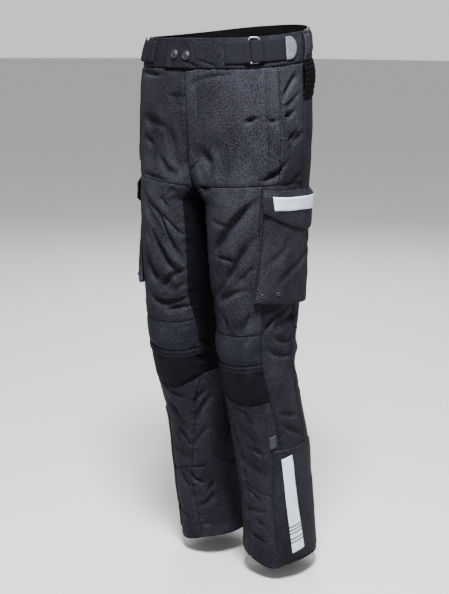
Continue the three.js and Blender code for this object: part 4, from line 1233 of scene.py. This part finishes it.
# Waist adjusters: on each side a webbing anchor sewn to the band with a box and cross, a steel
# ring, and a hook-and-loop strap that ends in a grey rubber tip, bare.
ANCHOR = {
    "front": -63, "back": -44.9, "rise_from": -50, "rise_to": -47, "top": 21, "bottom": -18, "thick": 1.8,
}
STRAP = {
    "front": -44.3, "back": -15.4, "rise_from": 33, "rise_to": 36.6, "top": 21, "bottom": -17, "thick": 1.6,
}
STRAP_END = {
    "front": -15.25, "back": -5, "top": 22, "bottom": -18, "thick": 3.2, "rounding": 0.45, "groove": 4,
}
RING = {
    "angle": -42, "height": 4, "wide": 21, "tall": 48, "bar": 2.8, "thick": 2.4, "corner": 6, "out": 3.6,
    "clear": 4.9, "rounding": 1.1,
}
RIDGES = 2900
STRAP_BASE = BAND["out"] + STAND_OFF

webbing = Finish("webbing", 0.7, gloss=0.03)
web_place = webbing.on_cloth()
web_across, web_down = webbing.parts(web_place)
web_left = webbing.math("SINE", (web_across + web_down) * RIDGES)
web_ridge = web_left * webbing.math("SINE", (web_across - web_down) * RIDGES)
web_noise = webbing.streaks(web_place, 500, 1500)
web_light = webbing.clip(web_ridge * 0.25 + web_noise, 0.2, 0.9)
web_colour = webbing.mix(web_light, shade(0.0014, 0.0014, 0.0021), shade(0.0150, 0.0152, 0.0205))
webbing.show("Base Color", web_colour)
webbing.raise_by(web_ridge * 0.5 + web_noise, 0.5 * MM)
WEBBING = (webbing.material, "webbing")

ring_steel = fine_grained(
    "ring_steel", shade(0.07, 0.07, 0.075), shade(0.18, 0.18, 0.185), 700, 5.0, 0.03, 0.30, 0.25, metallic=1.0
)

for side_name, side in SIDES:
    u, v = share_grid(14, 14)
    angle = between(ANCHOR["front"], ANCHOR["back"], u)
    height = between(ANCHOR["top"], ANCHOR["bottom"], v)
    over = RING["clear"] * smooth(angle, ANCHOR["rise_from"], ANCHOR["rise_to"])
    out = STRAP_BASE + ANCHOR["thick"] + over + 0.3 * rumple(angle * 2, height, 12)
    out = out - roll_off(side, angle, height, 1.6, 0.6)
    points, normals = add_trim(
        f"strap_anchor_{side_name}_webbing", side, angle, height, out, ANCHOR["thick"] + over, WEBBING,
    )
    box, box_up = points[2:-2, 1:-4], normals[2:-2, 1:-4]
    sew_edges(box, box_up, all_round(0.0))
    middle_up = box_up[5:6, 4]
    for first, last in ((0, -1), (-1, 0)):
        line = between(box[0, first], box[-1, last], np.linspace(0, 1, 12)[:, None])
        sew(line + 0.3 * middle_up, np.repeat(middle_up, 12, axis=0))

    u, v = share_grid(14, 32)
    angle = between(STRAP["front"], STRAP["back"], u)
    height = between(STRAP["top"], STRAP["bottom"], v)
    gaps = edge_gaps(form_point(side, angle, height))
    over = RING["clear"] * smooth(-angle, STRAP["rise_from"], STRAP["rise_to"])
    out = STRAP_BASE + STRAP["thick"] + over + 0.3 * rumple(angle * 2, height, 16)
    out = out - rolled(gaps, 1.4, 0.5) - rolled(gaps[:1], 3.0, 2.4)
    add_trim(
        f"waist_strap_{side_name}_webbing", side, angle, height, out, STRAP["thick"] + over, WEBBING,
        sewn={"end": (3.0,)},
    )

    u, v = share_grid(24, 14)
    round_end = np.sqrt(1 - (2 * v - 1) ** 2 * (1 - STRAP_END["rounding"] ** 2))
    angle = between(STRAP_END["front"], STRAP_END["back"], u * round_end)
    height = between(STRAP_END["top"], STRAP_END["bottom"], v)
    gaps = edge_gaps(form_point(side, angle, height))
    groove = 0.5 * np.exp(-((np.minimum.reduce(gaps) - STRAP_END["groove"]) ** 2))
    out = STRAP_BASE + STRAP_END["thick"] - rolled(gaps, 2.4, 1.4) - groove
    add_trim(
        f"strap_end_{side_name}_rubber", side, angle, height, out, STRAP_END["thick"], RUBBER,
    )


def seat(piece, side, angle, height, out):
    """Stands a fitting made round the Z axis on the cloth, and puts its place into its mesh."""
    where, normal = lay(np.array(side), np.array(angle * 1.0), np.array(height * 1.0), out)
    normal = Vector(normal)
    up = (Vector((0, 0, 1)) - normal * normal.z).normalized()
    turn = Matrix((up.cross(normal), up, normal)).transposed().to_4x4()
    piece.data.transform(Matrix.Translation(Vector(where) * MM) @ turn)
    piece.data.update()


for side_name, side in SIDES:
    bpy.ops.mesh.primitive_plane_add(size=1)
    ring = bpy.context.object
    ring.name = f"strap_ring_{side_name}_steel"
    bpy.ops.object.mode_set(mode="EDIT")
    bpy.ops.transform.resize(value=(RING["wide"] * MM, RING["tall"] * MM, 1))
    bpy.ops.mesh.bevel(offset=RING["corner"] * MM, segments=5, affect="VERTICES")
    bpy.ops.mesh.inset(thickness=RING["bar"] * MM)
    bpy.ops.mesh.delete(type="FACE")
    bpy.ops.mesh.select_all(action="SELECT")
    lift = {"value": (0, 0, RING["thick"] * MM)}
    bpy.ops.mesh.extrude_region_move(TRANSFORM_OT_translate=lift)
    bpy.ops.mesh.select_all(action="SELECT")
    bpy.ops.mesh.normals_make_consistent(inside=False)
    bpy.ops.object.mode_set(mode="OBJECT")
    rounding = ring.modifiers.new("rounding", "BEVEL")
    rounding.width = RING["rounding"] * MM
    rounding.segments = 4
    bpy.ops.object.modifier_apply(modifier="rounding")
    bpy.ops.object.shade_smooth_by_angle(angle=math.radians(50))
    seat(ring, side, RING["angle"], RING["height"], RING["out"])
    ring.data.materials.append(ring_steel)
    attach(ring, "root")
    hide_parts(f"strap_ring_{side_name}")
    ring.select_set(False)

# Belt loops: narrow doubled strips that arch over the band, bar-tacked at both ends.
LOOPS = [("belt_loop_side", 8, 5), ("belt_loop_back", 40, 2.7)]
LOOP = {"top": 26, "bottom": -24, "thick": 1.5, "out": 5.8, "degree": 0.0022, "long": 0.054}
LOOP_ROWS = {"start": (1.6,), "end": (1.6,), "top": (1.6, 2.8), "bottom": (1.6, 2.8)}

for side_name, side in SIDES:
    for loop_name, loop_angle, loop_half in LOOPS:
        u, v = share_grid(40, 8)
        arch = smooth(np.minimum(v, 1 - v), 0.04, 0.24)
        angle = loop_angle + loop_half * (2 * u - 1)
        height = between(LOOP["top"], LOOP["bottom"], v)
        out = between(STRAP_BASE + LOOP["thick"], LOOP["out"], arch) - roll_off(side, angle, height, 1.4, 0.5)
        add_trim(
            f"{loop_name}_{side_name}_cloth", side, angle, height, out, LOOP["thick"], MAIN,
            sewn=LOOP_ROWS,
        )
finish_stitches("strap_stitches")

# Snaps and eyelets: turned and blackened metal, the snaps with a rim and a domed cap.
SNAP = {"radius": 8.5, "tall": 3.6}
# name, turn round the waist, height and how far it stands off the lap
SNAPS = [("snap_outer", -5.8, -1, 0.45), ("snap_inner", 1.4, -3, 0.1)]
EYELET = {
    "outer": 3.8, "inner": 2.2, "thick": 1.2, "height": -433, "proud": 0.9,
    "angles": {"front": -40.5, "back": -21},
}
dark_steel = fine_grained(
    "dark_steel", shade(0.020, 0.020, 0.024), shade(0.075, 0.076, 0.085), 500, 5.0, 0.04, 0.42, 0.22,
    metallic=1.0,
)


def turned(name, profile, closed):
    """A fitting spun from a profile of (radius, height) pairs, by extruding and resizing a ring."""
    radius, level = profile[0]
    bpy.ops.mesh.primitive_circle_add(vertices=36, radius=radius * MM, location=(0, 0, 0))
    piece = bpy.context.object
    piece.name = name
    bpy.ops.object.mode_set(mode="EDIT")
    bpy.ops.transform.translate(value=(0, 0, level * MM))
    if not closed:
        bpy.ops.mesh.edge_face_add()
    for next_radius, next_level in profile[1:]:
        rise = {"value": (0, 0, (next_level - level) * MM)}
        bpy.ops.mesh.extrude_region_move(TRANSFORM_OT_translate=rise)
        bpy.ops.transform.resize(value=(next_radius / radius, next_radius / radius, 1))
        radius, level = next_radius, next_level
    bpy.ops.mesh.select_all(action="SELECT")
    bpy.ops.mesh.remove_doubles(threshold=0.00001)
    bpy.ops.mesh.select_all(action="SELECT")
    bpy.ops.mesh.normals_make_consistent(inside=False)
    bpy.ops.object.mode_set(mode="OBJECT")
    bpy.ops.object.shade_smooth_by_angle(angle=math.radians(40))
    piece.data.materials.append(dark_steel)
    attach(piece, "root")
    piece.select_set(False)
    return piece


def snap_profile():
    r, top = SNAP["radius"], SNAP["tall"]
    rim = [(0.96, 0), (1, 0.4), (1, 1.4), (0.95, 2.2), (0.86, 2.5), (0.80, 2.2), (0.74, 2.0)]
    dome = [(0.70, 2.3), (0.62, 2.9), (0.45, 3.4), (0.25, top), (0.02, top)]
    return [(r * share, level) for share, level in rim + dome]


for name, turn, height, rise in SNAPS:
    snap = turned(name + "_metal", snap_profile(), False)
    snap_side, snap_angle = band_place(np.array(float(turn)))
    seat(snap, snap_side, float(snap_angle), height, LAP["out"] + rise)
    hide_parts(name)

for side_name, side in SIDES:
    for place, angle in EYELET["angles"].items():
        outer, inner, thick = EYELET["outer"], EYELET["inner"], EYELET["thick"]
        middle = (outer + inner) / 2
        profile = [
            (inner, 0), (outer, 0), (outer, thick * 0.4), (outer - 0.5, thick * 0.9), (middle, thick),
            (inner + 0.4, thick * 0.9), (inner, thick * 0.4), (inner, 0),
        ]
        eyelet = turned(f"pocket_eyelet_{place}_{side_name}_metal", profile, True)
        pocket_face = float(pocket_out(np.array(float(angle)), np.array(float(EYELET["height"]))))
        seat(eyelet, side, angle, EYELET["height"], pocket_face + EYELET["proud"])
        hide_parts(f"pocket_eyelet_{place}_{side_name}")

bpy.data.objects.remove(stitch_bar)
